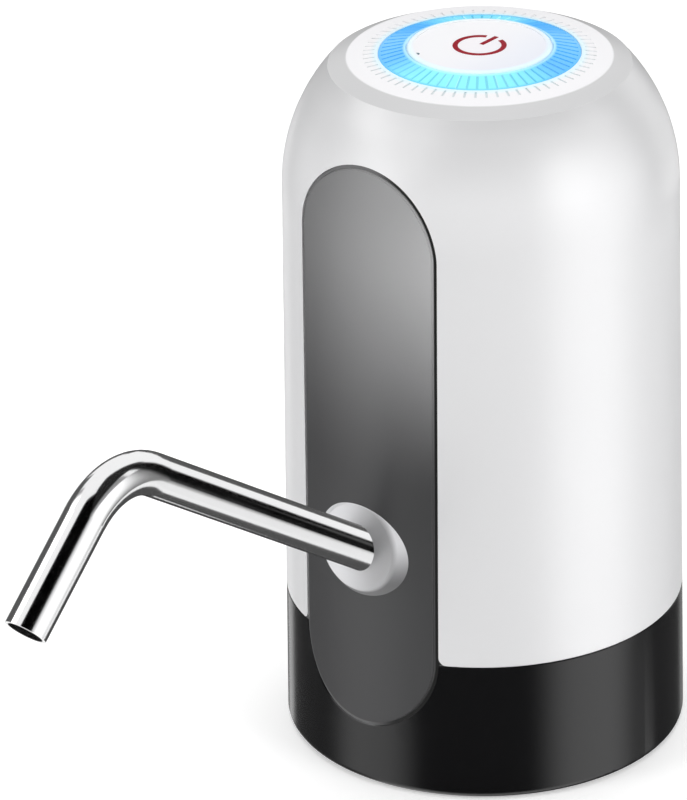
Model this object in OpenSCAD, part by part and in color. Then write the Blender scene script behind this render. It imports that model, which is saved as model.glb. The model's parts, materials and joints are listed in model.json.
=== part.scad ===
// Electric pump for a large water jug: a lit push button on top, a swivelling steel spout in front
// and a socket underneath that drops over the neck of the jug.
// Front is -Y and up is +Z. The foot stands at z = 0 and the body is centred on the Z axis.

/* [Body] */
// Outside diameter of the base at the foot
body_d = 72; // [71:0.25:75]
// Difference between the outside diameters at the foot and at the shoulder
body_taper = 2.4; // [1:0.1:3.4]
// Distance from the top of the body down to where the shoulder begins
shoulder_drop = 24.9; // [23:0.1:27]
// Radius of the rounded shoulder, in section
shoulder_r = 33; // [32:0.25:36]
// Distance from the top of the button down to the rim that carries the bezel
crown_drop = 3.3; // [2.8:0.1:3.8]
// Thickness of the solid rim under the top bezel
crown_t = 2.6; // [2.2:0.1:3]
// Wall thickness of the upper shell
wall = 2.2; // [2:0.1:2.4]
// Height of the seam between the base and the upper shell
seam_z = 26.1; // [25.5:0.1:27]
// Rounding of the window corners at the seam
corner_r = 1.6; // [0.8:0.1:2.4]
// Chamfer on both edges of the seam
seam_chamfer = 0.25; // [0.1:0.05:0.4]

/* [Front panel] */
// Half width of the window in the upper shell
window_hw = 14.75; // [13.5:0.05:15.5]
// Lowest point of the window
window_z0 = 11.4; // [10.5:0.1:12.5]
// Distance from the top of the body down to the highest point of the window
window_drop = 12; // [11.2:0.1:14]
// Width of the dark rim that shows round the panel
rim_w = 0.55; // [0.4:0.05:0.9]
// Depth of the dark rim below the outside of the shell
rim_sink = 0.3; // [0.1:0.05:0.6]
// Thickness of the grey panel
panel_t = 1.2; // [1:0.05:1.4]
// Height of the panel above the outside of the shell
panel_proud = 0.1; // [0.05:0.05:0.3]
// Width of the step along the edge of the panel
panel_edge = 0.2; // [0.1:0.05:0.4]
// Thickness of the carrier's flange behind the shell
flange_t = 1; // [0.8:0.05:1.2]
// Width of the carrier's flange behind the shell
flange_w = 1.8; // [1.2:0.1:2.4]

/* [Top] */
// Height of the whole body, to the top of the button
total_z = 129.2; // [128.7:0.1:130]
// Distance from the top of the button down to the outer edge of the bezel's top
bezel_drop = 1.9; // [1.6:0.1:2.2]
// Rise of the bezel's top from its outer edge to the light ring
bezel_dome = 0.6; // [0.4:0.05:0.9]
// Width of the bezel's sloping band
bezel_slope = 3.3; // [2.6:0.1:3.5]
// Number of fine grooves round the bezel's top
tick_count = 66; // [48:2:84]
// Length of the fine grooves
tick_l = 2; // [1.4:0.1:2.4]
// Width of the fine grooves
tick_w = 0.4; // [0.3:0.05:0.6]
// Depth of the fine grooves
tick_d = 0.12; // [0.06:0.02:0.2]
// Distance from the light ring out to the fine grooves
tick_gap = 0.7; // [0.4:0.1:1]
// Thickness of the bezel's top at its outer edge
bezel_t = 1.7; // [1.5:0.1:2]
// Distance from the edge of the rim in to the bezel's spigot
spigot_step = 4.02; // [3.8:0.01:4.3]
// Wall of the bezel's spigot
spigot_t = 1.8; // [1.5:0.1:2]
// Length of the snap hooks round the spigot, in degrees
hook_sweep = 22; // [14:1:30]
// Reach of the snap hooks under the rim
hook_reach = 1; // [0.6:0.1:1.2]
// Height of the snap hooks
hook_h = 3.2; // [2.6:0.1:3.6]
// Height of the snap hooks' straight tip
hook_tip = 1; // [0.6:0.1:1.4]
// Distance from the spigot's outside in to the light ring
ring_step = 4.8; // [4.5:0.1:5.2]
// Width of the light ring
ring_w = 4.75; // [4.4:0.05:5]
// Depth of the light ring below the bezel
ring_sink = 0.1; // [0.05:0.05:0.4]
// Rise of the light ring's top from its rim to the button
ring_rise = 1.1; // [0.6:0.1:1.2]
// Height of the light ring at its rim
ring_h = 6.4; // [6:0.1:6.8]
// Width of the light ring's flange
ring_flange_w = 2; // [1.5:0.1:2.4]
// Thickness of the light ring's flange
ring_flange_t = 1.6; // [1.2:0.1:2]
// Number of ribs round the light ring
ring_ribs = 60; // [48:2:72]
// Width of the grooves between the ribs
ring_groove_w = 0.45; // [0.3:0.05:0.6]
// Depth of the grooves between the ribs
ring_groove_d = 0.35; // [0.2:0.05:0.5]
// Width of the plain land at both ends of the grooves
ring_land = 0.4; // [0.2:0.1:0.8]
// Depth of the shallow dish in the button's top
dish_d = 0.12; // [0.06:0.02:0.2]
// Width of the rim round the dish
dish_rim = 1.1; // [0.9:0.1:1.6]
// Thickness of the button's cap
button_t = 2; // [1.6:0.1:2.4]
// Rounding of the button's edge
button_round = 0.5; // [0.3:0.05:0.8]
// Wall of the button's skirt
button_wall = 1.4; // [1.2:0.1:1.8]
// Reach of the button's flange under the light ring
button_flange_w = 1.6; // [1:0.1:1.8]
// Thickness of the button's flange
button_flange_t = 1.2; // [1:0.1:1.4]
// Radius of the button's stem
stem_r = 2; // [1.7:0.1:2.6]
// Travel of the button
button_travel = 0.6; // [0.4:0.05:0.7]

/* [Switch board] */
// Distance from the spigot's outside in to the edge of the switch board
board_step = 0.5; // [0.4:0.1:0.8]
// Thickness of both circuit boards
board_t = 1.6; // [1.2:0.1:1.6]
// Distance from the top of the body down to the switch board's upper face
switch_drop = 12.2; // [12:0.1:12.6]
// Width of the push switch
tact_w = 6; // [5:0.1:7]
// Height of the push switch
tact_h = 3.5; // [3.2:0.1:3.7]
// Radius of the push switch's plunger
tact_r = 1.75; // [1.5:0.05:2]
// Height of the plunger above the push switch
plunger_rise = 1.4; // [1.2:0.1:1.6]
// Depth of the plunger in the push switch
plunger_sink = 1.3; // [1.1:0.1:1.4]
// Number of light emitters under the ring
led_count = 9; // [6:3:12]
// Length of a light emitter
led_l = 3.5; // [3:0.1:4]
// Width of a light emitter
led_w = 2.8; // [2.4:0.1:3]
// Height of a light emitter
led_h = 1; // [0.8:0.1:1.4]
// Direction of the first light emitter, in degrees
led_start = 20; // [10:5:30]
// Number of screws that hold the switch board
board_screw_count = 3; // [3:1:4]
// Distance of those screws from the spigot's outside
board_screw_step = 3.2; // [3:0.1:3.4]
// Radius of the bosses for those screws
board_boss_r = 2.2; // [2:0.1:2.3]
// Height of the bosses for those screws
board_boss_h = 4; // [3.4:0.1:5]
// Length of those screws in their bosses
board_screw_hold = 2.6; // [2:0.1:2.8]

/* [Spout] */
// Radius of the spout tube
spout_r = 3.8; // [3.6:0.05:4]
// Wall thickness of the spout tube
spout_wall = 0.6; // [0.5:0.05:0.8]
// Rise of the spout above level
spout_rise = 33.4; // [30:0.2:36]
// Fall of the spout's end below level
spout_fall = 42.9; // [36:0.2:50]
// Length from the collar's face to the corner of the bend
spout_run = 74.9; // [64:0.5:84]
// Length from the corner of the bend to the tip
spout_drop = 32.1; // [28:0.5:36]
// Radius of the bend along the middle of the tube
spout_bend_r = 14; // [12:0.5:16]
// Step where the drawn end of the spout leaves the bend
bend_step = 0.02; // [0.02:0.01:0.04]
// Height of the spout's axis at the collar's face
spout_z = 46.6; // [46:0.1:47.4]
// Distance from the outside of the foot forward to the collar's face
collar_stand = 0.4; // [0.1:0.1:0.9]
// Length of the spout inside the collar
spout_plug = 15; // [14.2:0.2:15.4]
// Gap between the spout's inner end and its stop
spout_stop = 0.4; // [0.3:0.05:0.6]
// Radius of the collar's face
collar_face_r = 8.3; // [7.8:0.1:8.8]
// Radius of the collar's back
collar_r = 9.9; // [9.4:0.1:10.6]
// Tilt of the collar's face
collar_tilt = 6; // [2:0.5:9]
// Height from the collar's face to its widest part
collar_h = 2.4; // [2:0.1:3]
// Rounding between the collar's face and its side
collar_round = 0.5; // [0.3:0.1:0.8]
// Radius of the collar's sleeve through the panel
sleeve_r = 5.2; // [5:0.1:5.4]
// Depth of the collar's sleeve behind its face
sleeve_depth = 9; // [8.4:0.1:9.4]
// Radius of the spout socket
socket_r = 6.7; // [6.5:0.1:7]
// Radius of the chamber at the end of the spout socket
chamber_r = 4.4; // [4.2:0.1:4.8]
// Length of that chamber
chamber_l = 8.4; // [8.3:0.1:8.8]
// Thickness of that chamber's floor
chamber_floor = 1.4; // [1:0.1:1.8]
// Thickness of the sealing rings
seal_t = 1.4; // [1.2:0.05:1.5]
// Depths of the two sealing rings behind the collar's face
seal_depth = [10.7, 13.1]; // [10.6:0.1:13.2]

/* [Base] */
// Thickness of the base from the neck socket to the outside of the foot
base_rim = 8; // [7.8:0.05:8.2]
// Depth of the neck socket up to its ceiling
socket_depth = 23; // [22.5:0.1:23.4]
// Height of the neck seal's groove
seal_z = 12; // [11.5:0.1:12.4]
// Height of the neck seal
seal_h = 3; // [2.6:0.1:3.2]
// Depth of the neck seal's groove
seal_groove = 1.2; // [1:0.1:1.4]
// Reach of the neck seal's lip into the socket
seal_lip = 0.8; // [0.6:0.1:1]
// Thickness of the wall round the neck socket
socket_wall = 2; // [1.8:0.1:2.2]
// Rounding of the foot's outer edge
foot_round = 1.5; // [1:0.1:2]
// Chamfer at the mouth of the neck socket
mouth_chamfer = 0.4; // [0.2:0.05:0.5]
// Height of the hollows between the ribs of the base
core_h = 19; // [17:0.5:20]
// Directions of the hollows between the ribs of the base, in degrees
core_angles = [0, 60, 80, 100, 120, 180]; // [0:5:180]
// Length of a hollow round the base, in degrees
core_sweep = 15; // [12:0.5:17]
// Thickness left under the pilot holes of the chassis screws
pilot_floor = 0.5; // [0.4:0.1:0.7]
// Height of the base's lip inside the shell
lip_h = 5; // [4:0.1:5.4]
// Thickness of the base's lip inside the shell
lip_t = 1.5; // [1.2:0.1:1.6]
// Radius of the suction spigot
spigot_pin_r = 4; // [3.8:0.05:4.2]
// Length of the suction spigot below the ceiling
spigot_pin_l = 10; // [9:0.1:10.2]
// Bore of the intake stem
stem_bore_r = 1.6; // [1.4:0.05:1.7]
// Chamfer at the tip of the suction spigot
spigot_tip = 0.8; // [0.5:0.1:1]
// Radius of the intake stem where it passes through the ceiling of the socket
stem_step_r = 4.8; // [4.6:0.05:5]
// Radius of the intake stem's flange
stem_flange_r = 8; // [7.5:0.1:8.5]
// Thickness of the intake stem's flange
stem_flange_t = 1.2; // [1:0.05:1.3]
// Gap between the intake stem's barb and the pump's nozzle
barb_gap = 0.6; // [0.4:0.1:0.8]

/* [Chassis] */
// Distance from the outside of the foot in to the chassis floor
chassis_inset = 4.8; // [4.7:0.1:5.2]
// Thickness of the chassis floor
chassis_t = 2.4; // [2.2:0.1:2.5]
// Width of the back plate beyond the middle of the battery clips
plate_side = 1; // [0.8:0.1:1.4]
// Distance from the body's axis to the back plate
plate_y = 16; // [15.8:0.1:16.4]
// Thickness of the back plate
plate_t = 2; // [1.6:0.1:2.2]
// Height of the back plate's top
plate_z = 92; // [90:0.5:93]
// Wall of the battery clips
clip_t = 1.5; // [1.2:0.1:1.6]
// Height of each battery clip
clip_h = 8; // [6:0.2:9]
// Heights of the battery clips above the chassis floor
clip_rise = [10, 46]; // [8:0.5:50]
// Width of the opening at the front of the battery clips
clip_gap = 13; // [11:0.2:14]
// Distance of the lead's hole in the back plate from the body's axis
lead_hole_x = 14.5; // [14:0.1:15]
// Radius of the lead's hole in the back plate
lead_hole_r = 2.2; // [2:0.1:2.4]
// Height of the lead's hole above the chassis floor
lead_hole_rise = 7; // [6.5:0.1:7.4]
// Height of the motor saddle
saddle_h = 14; // [12:0.2:16]
// Half width of the motor saddle
saddle_hw = 9; // [8:0.2:9.6]
// Height of the motor saddle above the motor's front face
saddle_rise = 8; // [6:0.2:10]
// Distance from the body's axis to the front of the motor saddle
saddle_y = 4; // [3:0.5:6]
// Radius of the posts under the pump
post_r = 1.8; // [1.6:0.1:1.9]
// Distance of those posts from the pump's axis
post_orbit = 11; // [10.8:0.1:11.2]
// Directions of those posts from the pump's axis, in degrees
post_angles = [60, 140, 285]; // [50:5:300]
// Radius of the posts under the main board
main_post_r = 2.2; // [2:0.1:2.4]
// Distance of those posts from the main board's upper and lower edges
main_post_z = 4; // [3.6:0.1:4.4]
// Distance of those posts from the main board's sides
main_post_x = 3; // [2.8:0.1:3.4]
// Thickness of the soft pads on the posts
pad_t = 1.5; // [1.2:0.1:1.8]

/* [Battery] */
// Diameter of the battery cell
cell_d = 18.4; // [18:0.1:18.6]
// Length of the battery cell
cell_l = 65; // [64:0.1:66]
// Gap between the battery clips and the shell
cell_gap = 3.1; // [2.8:0.1:3.3]
// Radius of the battery's raised end
cell_cap_r = 3.2; // [2.8:0.1:4]
// Height of the battery's raised end
cell_cap_h = 0.9; // [0.6:0.1:1.2]
// Thickness of the battery's end tabs
tab_t = 0.3; // [0.2:0.05:0.4]
// Width of the battery's end tabs
tab_w = 5; // [4:0.2:6]
// Length of the battery's upper tab
tab_top_l = 9; // [8:0.5:10]
// Length of the battery's lower tab
tab_low_l = 14; // [13:0.5:14.5]

/* [Motor] */
// Distance of the pump and motor to the right of the body's axis
pump_x = 6; // [5.8:0.1:6.2]
// Radius of the motor
motor_r = 12; // [11.6:0.1:12.2]
// Length of the motor can
motor_l = 29; // [28:0.2:30]
// Wall of the motor can
can_t = 0.8; // [0.6:0.05:0.9]
// Thickness of the motor can's front
can_floor = 1.2; // [1:0.05:1.4]
// Radius of the motor's front boss
boss_r = 4; // [3.6:0.1:4.4]
// Height of the motor's front boss
boss_h = 2; // [1.6:0.1:2.2]
// Radius of the motor shaft
shaft_r = 1; // [0.95:0.01:1.1]
// Outside radius of the shaft's bushes
bush_r = 2.6; // [2.3:0.1:2.8]
// Radius of the armature
armature_r = 8.2; // [8:0.05:8.3]
// Length of the armature
armature_l = 18; // [16:0.2:19]
// Distance of the armature behind the motor's front face
armature_rise = 6; // [5.4:0.1:6.2]
// Number of poles of the armature
armature_poles = 3; // [3:2:5]
// Depth of the slots between the poles
armature_slot_d = 3; // [2.4:0.1:3.4]
// Width of the slots between the poles
armature_slot_w = 1.6; // [1.2:0.1:1.8]
// Thickness of the magnets
magnet_t = 2.3; // [2:0.05:2.35]
// Length of the magnets
magnet_l = 21; // [18:0.2:21.5]
// Sweep of each magnet, in degrees
magnet_sweep = 130; // [110:5:140]
// Overhang of the magnets past the armature
magnet_lap = 1.5; // [1:0.1:1.8]
// Radius of the commutator
commutator_r = 3; // [2.8:0.05:3.4]
// Length of the commutator
commutator_l = 3.6; // [3.2:0.1:4]
// Gap between the armature and the commutator
commutator_gap = 0.6; // [0.4:0.1:0.8]
// Length of the brushes
brush_l = 3.4; // [3:0.1:4]
// Width of the brushes
brush_w = 2; // [1.6:0.1:2.2]
// Height of the brushes
brush_h = 3.2; // [3:0.1:3.6]
// Thickness of the end cap
end_cap_t = 2.5; // [2:0.1:3]
// Thickness of the end cap over the shaft's end
cap_floor = 0.6; // [0.5:0.05:0.8]
// Distance of the motor's tabs from its axis
motor_tab_x = 8; // [7.4:0.1:8.4]
// Width of the motor's tabs
motor_tab_w = 2.8; // [2.4:0.1:3]
// Thickness of the motor's tabs
motor_tab_t = 0.5; // [0.4:0.05:0.6]
// Height of the motor's tabs
motor_tab_h = 4; // [3.6:0.1:4.4]
// Width of the band tie round the motor
strap_w = 5; // [4:0.2:6]
// Thickness of the band tie round the motor
strap_t = 1; // [0.8:0.1:1.1]
// Direction of the band tie's lock, in degrees
strap_lock = 300; // [290:5:330]

/* [Pump] */
// Radius of the pump
pump_r = 13.5; // [13.2:0.1:13.8]
// Height of the pump's cover
cover_h = 8.6; // [8.4:0.1:9]
// Depth of the inlet gallery in the cover
gallery_h = 2.6; // [2.2:0.1:2.8]
// Outside radius of the inlet gallery
gallery_r = 11.3; // [11:0.1:11.4]
// Inside radius of the inlet gallery
gallery_in_r = 4.2; // [4.1:0.05:4.3]
// Wall between the inlet gallery and the outlet chamber
gallery_wall = 0.8; // [0.7:0.05:0.9]
// Length of the inlet nozzle
inlet_l = 2.4; // [2.2:0.1:2.6]
// Height of the outlet above the bottom of the cover
outlet_rise = 2.7; // [2.6:0.05:2.9]
// Distance of the outlet nozzle from the pump's axis
outlet_x = 9; // [8.6:0.1:9.2]
// Distance from the pump's axis to the root of the outlet nozzle
nozzle_root = 10.7; // [10.6:0.05:10.9]
// Distance from the pump's axis to the hose clip's recess
clip_root = 12; // [11.9:0.05:12.1]
// Distance of the pump's screws from its axis
ear_orbit = 14.4; // [14.2:0.1:14.5]
// Number of the pump's screws
ear_count = 3; // [3:1:3]
// Direction of the first of the pump's screws, in degrees
ear_start = -12; // [-13:0.5:-10]
// Height of the screw ears on the pump body
ear_h = 4; // [3.6:0.1:4.6]
// Length of the pump's screws in the pump body
ear_hold = 2; // [1.8:0.1:2.6]
// Radius of the nozzles
nozzle_r = 2.4; // [2.3:0.05:2.5]
// Bore radius of the nozzles
nozzle_bore = 1.4; // [1.2:0.05:1.6]
// Thickness of the valve plate
valve_plate_t = 3; // [2.6:0.1:3.2]
// Distance of the inlet valves from the pump's axis
inlet_orbit = 7.5; // [7.4:0.05:7.6]
// Radius of the inlet valves
inlet_valve_r = 2.3; // [2.2:0.05:2.4]
// Radius of the outlet valve
outlet_valve_r = 3.1; // [3:0.05:3.2]
// Thickness of both kinds of valve
valve_t = 0.5; // [0.4:0.05:0.6]
// Radius of the valves' stems
valve_stem_r = 0.6; // [0.55:0.01:0.65]
// Radius of the water holes in the valve plate
port_r = 0.5; // [0.4:0.02:0.52]
// Distance of the inlet holes from their valve's stem
port_step = 1.5; // [1.4:0.05:1.6]
// Distance of the outlet holes from the pump's axis
outlet_orbit = 2.4; // [2.35:0.02:2.45]
// Thickness of the diaphragm's flange
diaphragm_t = 1.4; // [1.2:0.1:1.6]
// Radius of the valve plate and of the diaphragm's flange
plate_r = 12.7; // [12.6:0.05:12.9]
// Distance of the pumping chambers from the pump's axis
cup_orbit = 6.5; // [6.4:0.05:6.6]
// Radius of a pumping chamber
cup_r = 4.2; // [4:0.05:4.25]
// Wall of a diaphragm cup
cup_t = 0.7; // [0.6:0.05:0.75]
// Directions of the pumping chambers, in degrees
cup_angles = [60, 180, 300]; // [60:5:300]
// Gap between the diaphragm's cups and the wobble plate's pads
cup_gap = 0.45; // [0.4:0.05:0.5]
// Thickness of the closed end of a cup
cup_end = 1.2; // [1:0.1:1.3]
// Radius of the diaphragm's knobs
knob_r = 1.2; // [1.1:0.05:1.25]
// Radius of the beads on the diaphragm's knobs
bead_r = 1.9; // [1.7:0.1:2]
// Height of the beads on the diaphragm's knobs
bead_h = 0.9; // [0.8:0.1:1]
// Tilt of the wobble plate
wobble_tilt = 6; // [4:0.25:7]
// Height of the wobble plate's centre above the diaphragm's flange
wobble_rise = 5.2; // [5:0.1:5.5]
// Thickness of the wobble plate
wobble_t = 2; // [1.8:0.1:2.2]
// Radius of the wobble plate's pads
wobble_pad_r = 2.5; // [2.3:0.05:2.6]
// Radius of the wobble plate's hub
wobble_hub_r = 3; // [2.6:0.1:3.2]
// Width of the wobble plate's arms
wobble_arm_w = 3.2; // [2.8:0.1:3.4]
// Radius of the holes in the wobble plate's pads
wobble_hole_r = 1.4; // [1.35:0.05:1.5]
// Gap over the end of the wobble plate's stem
wobble_end = 0.5; // [0.3:0.05:0.6]
// Radius of the wobble plate's stem
wobble_stem_r = 1.25; // [1.1:0.05:1.4]
// Height of the pump body
pump_body_h = 18.4; // [18:0.1:19]
// Wall of the pump body
pump_wall = 1.4; // [1.2:0.1:1.6]
// Thickness of the pump body's motor plate
pump_plate_t = 2.5; // [2.2:0.1:2.8]
// Radius of the eccentric
eccentric_r = 5.5; // [5:0.1:6]
// Height of the eccentric
eccentric_h = 7; // [6.6:0.1:7.2]
// Depth of the shaft's hole in the eccentric
eccentric_hold = 3.2; // [3:0.1:3.4]
// Gap between the eccentric and the pump body's motor plate
eccentric_gap = 0.5; // [0.4:0.05:0.6]
// Web between the eccentric's two holes
eccentric_web = 0.4; // [0.3:0.05:0.5]

/* [Hoses] */
// Wall of the water hoses
hose_wall = 1.7; // [1.5:0.05:1.8]
// Radius of the outlet hose's bend
hose_bend_r = 5.8; // [5.6:0.1:6]
// Gap between a hose's end and the piece it meets
hose_end = 0.5; // [0.4:0.05:0.6]
// Width of the hose clips
hose_clip_w = 1.8; // [1.4:0.1:2]
// Thickness of the hose clips
hose_clip_t = 0.7; // [0.5:0.05:0.8]
// Direction of the lower hose clips' ears, in degrees
clip_turn = 130; // [120:5:140]

/* [Electronics] */
// Half width of the main board
main_hw = 13; // [12.6:0.1:13.4]
// Height of the main board
main_h = 34; // [32:0.2:35]
// Gap between the back plate and the main board
main_gap = 6; // [5.6:0.1:6.2]
// Height of the main board above the chassis floor
main_rise = 2; // [1.8:0.1:2.6]
// Height of the charging socket
usb_z = 44; // [42:0.2:46]
// Half width of the charging socket
usb_hw = 4.2; // [4:0.1:4.6]
// Half height of the charging socket
usb_hh = 1.6; // [1.5:0.05:1.8]
// Wall of the charging socket
usb_wall = 0.35; // [0.3:0.05:0.4]
// Half width of the charging socket's tongue
tongue_hw = 2.8; // [2.4:0.1:3]
// Thickness of the charging socket's tongue
tongue_t = 0.7; // [0.6:0.05:0.8]
// Half width of the port in the shell
port_hw = 6.4; // [6:0.1:7]
// Half height of the port in the shell
port_hh = 3.4; // [3.1:0.1:3.8]
// Width of the main chip
chip_w = 6; // [5:0.2:7]
// Thickness of the chips
chip_t = 1.5; // [1.2:0.1:1.8]
// Height of the chips above the lower edge of the board
chip_z = 22; // [20:0.5:23]
// Radius of the coil on the board
coil_r = 2; // [1.6:0.1:2.4]
// Height of the coil above the lower edge of the board
coil_z = 6; // [5:0.5:7]
// Radius of the leads
lead_r = 0.65; // [0.5:0.05:0.75]
// Height of the leads' arch over the back plate
lead_arch = 4.4; // [4:0.1:5]
// Distance the leads fall behind the back plate before they turn to the main board
lead_fall = 10; // [9:0.5:11]
// Length of the leads' ends on the main board
lead_end = 5; // [4:0.5:6]
// Spacing of the leads' ends on the main board
lead_pitch = 2; // [1.6:0.1:2.2]

/* [Fasteners] */
// Radius of the screws' shanks
screw_r = 1.1; // [1:0.05:1.2]
// Radius of the screws' heads
screw_head_r = 2; // [1.8:0.05:2.2]
// Height of the screws' heads
screw_head_h = 1.4; // [1.2:0.1:1.6]
// Directions of the case screws, in degrees
case_angles = [30, 150, 210, 330]; // [30:5:330]
// Distance of the case screws from the outside of the foot
case_inset = 4; // [3.9:0.05:4.2]
// Radius of the shell's screw bosses
case_boss_r = 2.8; // [2.6:0.05:3]
// Height of the shell's screw bosses
case_boss_h = 13; // [11:0.2:14]
// Directions of the chassis screws, in degrees
chassis_angles = [5, 110, 235]; // [5:5:240]
// Distance of the chassis screws from the edge of the chassis floor
chassis_screw_inset = 4.7; // [4.2:0.1:5.2]
// Length of the chassis screws in the base
chassis_hold = 2.2; // [1.8:0.1:2.3]
// Length of the main board's screws in their posts
main_hold = 5; // [4:0.2:5.4]

/* [Clearances] */
// Gap between fixed pieces that fit into each other
fit = 0.08; // [0.05:0.01:0.12]
// Gap round the turning spout and the turning shafts
run_gap = 0.06; // [0.04:0.01:0.08]
// Gap round the button
slide_gap = 0.25; // [0.2:0.05:0.35]

/* [Hidden] */
$fn = 64;

over = 1;
route_steps = 5;
lead_sides = 8;
bend_lap = 0.5;
shoulder_d = body_d - body_taper;
shoulder_z = total_z - shoulder_drop;
crown_z = total_z - crown_drop;
bezel_z = total_z - bezel_drop;
window_z1 = total_z - window_drop;
socket_bore_r = body_d / 2 - base_rim;
chassis_r = body_d / 2 - chassis_inset;
chassis_orbit = chassis_r - chassis_screw_inset;
case_orbit = body_d / 2 - case_inset;
spout_y = body_d / 2 + collar_stand;
cell_x = body_d / 2 - wall - cell_gap - clip_t - cell_d / 2;
plate_hw = cell_x + plate_side;
draft = atan((body_d - shoulder_d) / 2 / shoulder_z);
arc_x = shoulder_d / 2 - shoulder_r * cos(draft);
arc_z = shoulder_z - shoulder_r * sin(draft);
crown_r = arc_x + sqrt(pow(shoulder_r, 2) - pow(crown_z - arc_z, 2));
bezel_flat_r = crown_r - bezel_slope;
spigot_r = crown_r - spigot_step;
ring_r = spigot_r - ring_step;
ring_in_r = ring_r - ring_w;
button_r = ring_in_r - slide_gap;
switch_board_r = spigot_r - board_step;
switch_board_z = total_z - switch_drop;
board_screw_orbit = spigot_r - board_screw_step;
window_in = wall + fit;
carrier_back = window_in + flange_t;
panel_hw = window_hw - rim_w - 2 * fit;
panel_z0 = window_z0 + rim_w + 2 * fit;
panel_z1 = window_z1 - rim_w - 2 * fit;
lip_z = seam_z + lip_h;
crown_hole_r = spigot_r + slide_gap;
ring_z1 = bezel_z + bezel_dome - ring_sink;
ring_z0 = ring_z1 - ring_h;
ring_lean = atan(ring_rise / ring_w);
ring_flange_z1 = bezel_z - bezel_t - fit;
bezel_lean = atan(bezel_dome / (bezel_flat_r - ring_r - fit));
tick_r = ring_r + tick_gap + tick_l / 2;
button_z1 = total_z;
button_flange_z1 = ring_z0 - slide_gap;
button_z0 = button_flange_z1 - button_flange_t;
tact_z1 = switch_board_z + tact_h;
plunger_z1 = tact_z1 + plunger_rise;
plunger_z0 = tact_z1 - plunger_sink;
led_orbit = (ring_r + ring_in_r) / 2;
spout_turn = spout_rise + spout_fall;
spout_trim = spout_bend_r * tan(spout_turn / 2);
sleeve_bore = spout_r + run_gap;
socket_end = spout_plug + spout_stop;
chamber_mid = socket_end + chamber_l / 2;
barb_y = spout_y - chamber_mid * cos(spout_rise);
barb_z = spout_z - chamber_mid * sin(spout_rise);
floor_z = seam_z + chassis_t;
pump_z = barb_z - outlet_rise;
valve_z = pump_z + cover_h;
diaphragm_z = valve_z + valve_plate_t;
pump_body_z = diaphragm_z + diaphragm_t;
motor_z = pump_body_z + pump_body_h;
can_z1 = motor_z + motor_l;
end_cap_z1 = can_z1 + end_cap_t;
boss_z1 = end_cap_z1 + boss_h;
wobble_z = pump_body_z + wobble_rise;
eccentric_z1 = motor_z - pump_plate_t - eccentric_gap;
eccentric_z0 = eccentric_z1 - eccentric_h;
bore_z1 = eccentric_z1 - eccentric_hold - eccentric_web;
armature_z0 = motor_z + armature_rise;
commutator_z0 = armature_z0 + armature_l + commutator_gap;
hose_in_r = nozzle_r + fit / 4;
hose_r = hose_in_r + hose_wall;
hose_x = pump_x + outlet_x;
barb_l = hose_x - hose_bend_r - hose_end;
hose_start = chamber_r + hose_end;
cell_z = floor_z + tab_t + fit;
main_y = plate_y + plate_t + main_gap;
main_z0 = floor_z + main_rise;
saddle_z = motor_z + saddle_rise;
strap_z = saddle_z + (saddle_h - strap_w) / 2;
cell_top = cell_z + cell_l + cell_cap_h + tab_t;
lead_hole_z = floor_z + lead_hole_rise;
plate_back = plate_y + plate_t + 2.5 * lead_r;
board_top = main_z0 + main_h;
lead_y = main_y - lead_r - slide_gap;
port_y = body_d / 2 - usb_z * tan(draft) - wall;

// Half section of the body's outside, moved inward
module body_profile(inset, z0, z1) {
    tz = arc_z + (shoulder_r - inset) * sin(draft);
    tx = arc_x + (shoulder_r - inset) * cos(draft);
    intersection() {
        union() {
            polygon([[0, 0], [tx + tz * tan(draft), 0], [tx, tz], [0, tz]]);
            intersection() {
                translate([arc_x, arc_z]) circle(r = shoulder_r - inset);
                translate([0, tz]) square([body_d, crown_z - tz]);
            }
        }
        translate([0, z0]) square([body_d, z1 - z0]);
    }
}

module body_solid(inset, z0, z1) {
    rotate_extrude() body_profile(inset, z0, z1);
}

module stadium(hw, z0, z1) {
    translate([0, z0 + hw]) circle(r = hw);
    translate([0, z1 - hw]) circle(r = hw);
    translate([-hw, z0 + hw]) square([2 * hw, z1 - z0 - 2 * hw]);
}

// A flat outline pushed forward from the middle of the body
module front_prism() {
    rotate([90, 0, 0]) translate([0, 0, body_d / 6]) linear_extrude(body_d / 2) children();
}

module window_prism(grow) {
    front_prism() stadium(window_hw + grow, window_z0 - grow, window_z1 + grow);
}

module panel_prism(grow) {
    front_prism() stadium(panel_hw + grow, panel_z0 - grow, panel_z1 + grow);
}

// The spout's axis, with local +Z pointing out of the collar and z = 0 at the collar's face
module at_spout() {
    translate([0, -spout_y, spout_z]) rotate([90 - spout_rise, 0, 0]) children();
}

module at_pump(z) {
    translate([pump_x, 0, z]) children();
}

module ring_of(count, orbit, start = 0) {
    for (k = [0:count - 1]) rotate([0, 0, start + k * 360 / count]) translate([orbit, 0, 0]) children();
}

module at_angles(angles, orbit) {
    for (a = angles) rotate([0, 0, a]) translate([orbit, 0, 0]) children();
}

module tube(r_out, r_in, h) {
    difference() {
        cylinder(r = r_out, h = h);
        translate([0, 0, -over]) cylinder(r = r_in, h = h + 2 * over);
    }
}

// Pan head screw, with its head on z = 0 and its shank below
module screw(shank) {
    cylinder(r = screw_head_r, h = screw_head_h);
    translate([0, 0, -shank]) cylinder(r = screw_r, h = shank + screw_head_h / 2);
}

// Triangle that chamfers the outer edge of the seam, above it with side 1 and below it with side -1
module seam_bevel(side) {
    r = body_d / 2 - seam_z * tan(draft);
    polygon([[r - seam_chamfer, seam_z - side * fit], [r + over, seam_z - side * fit],
        [r + over, seam_z + side * (seam_chamfer + over)]]);
}

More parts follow.
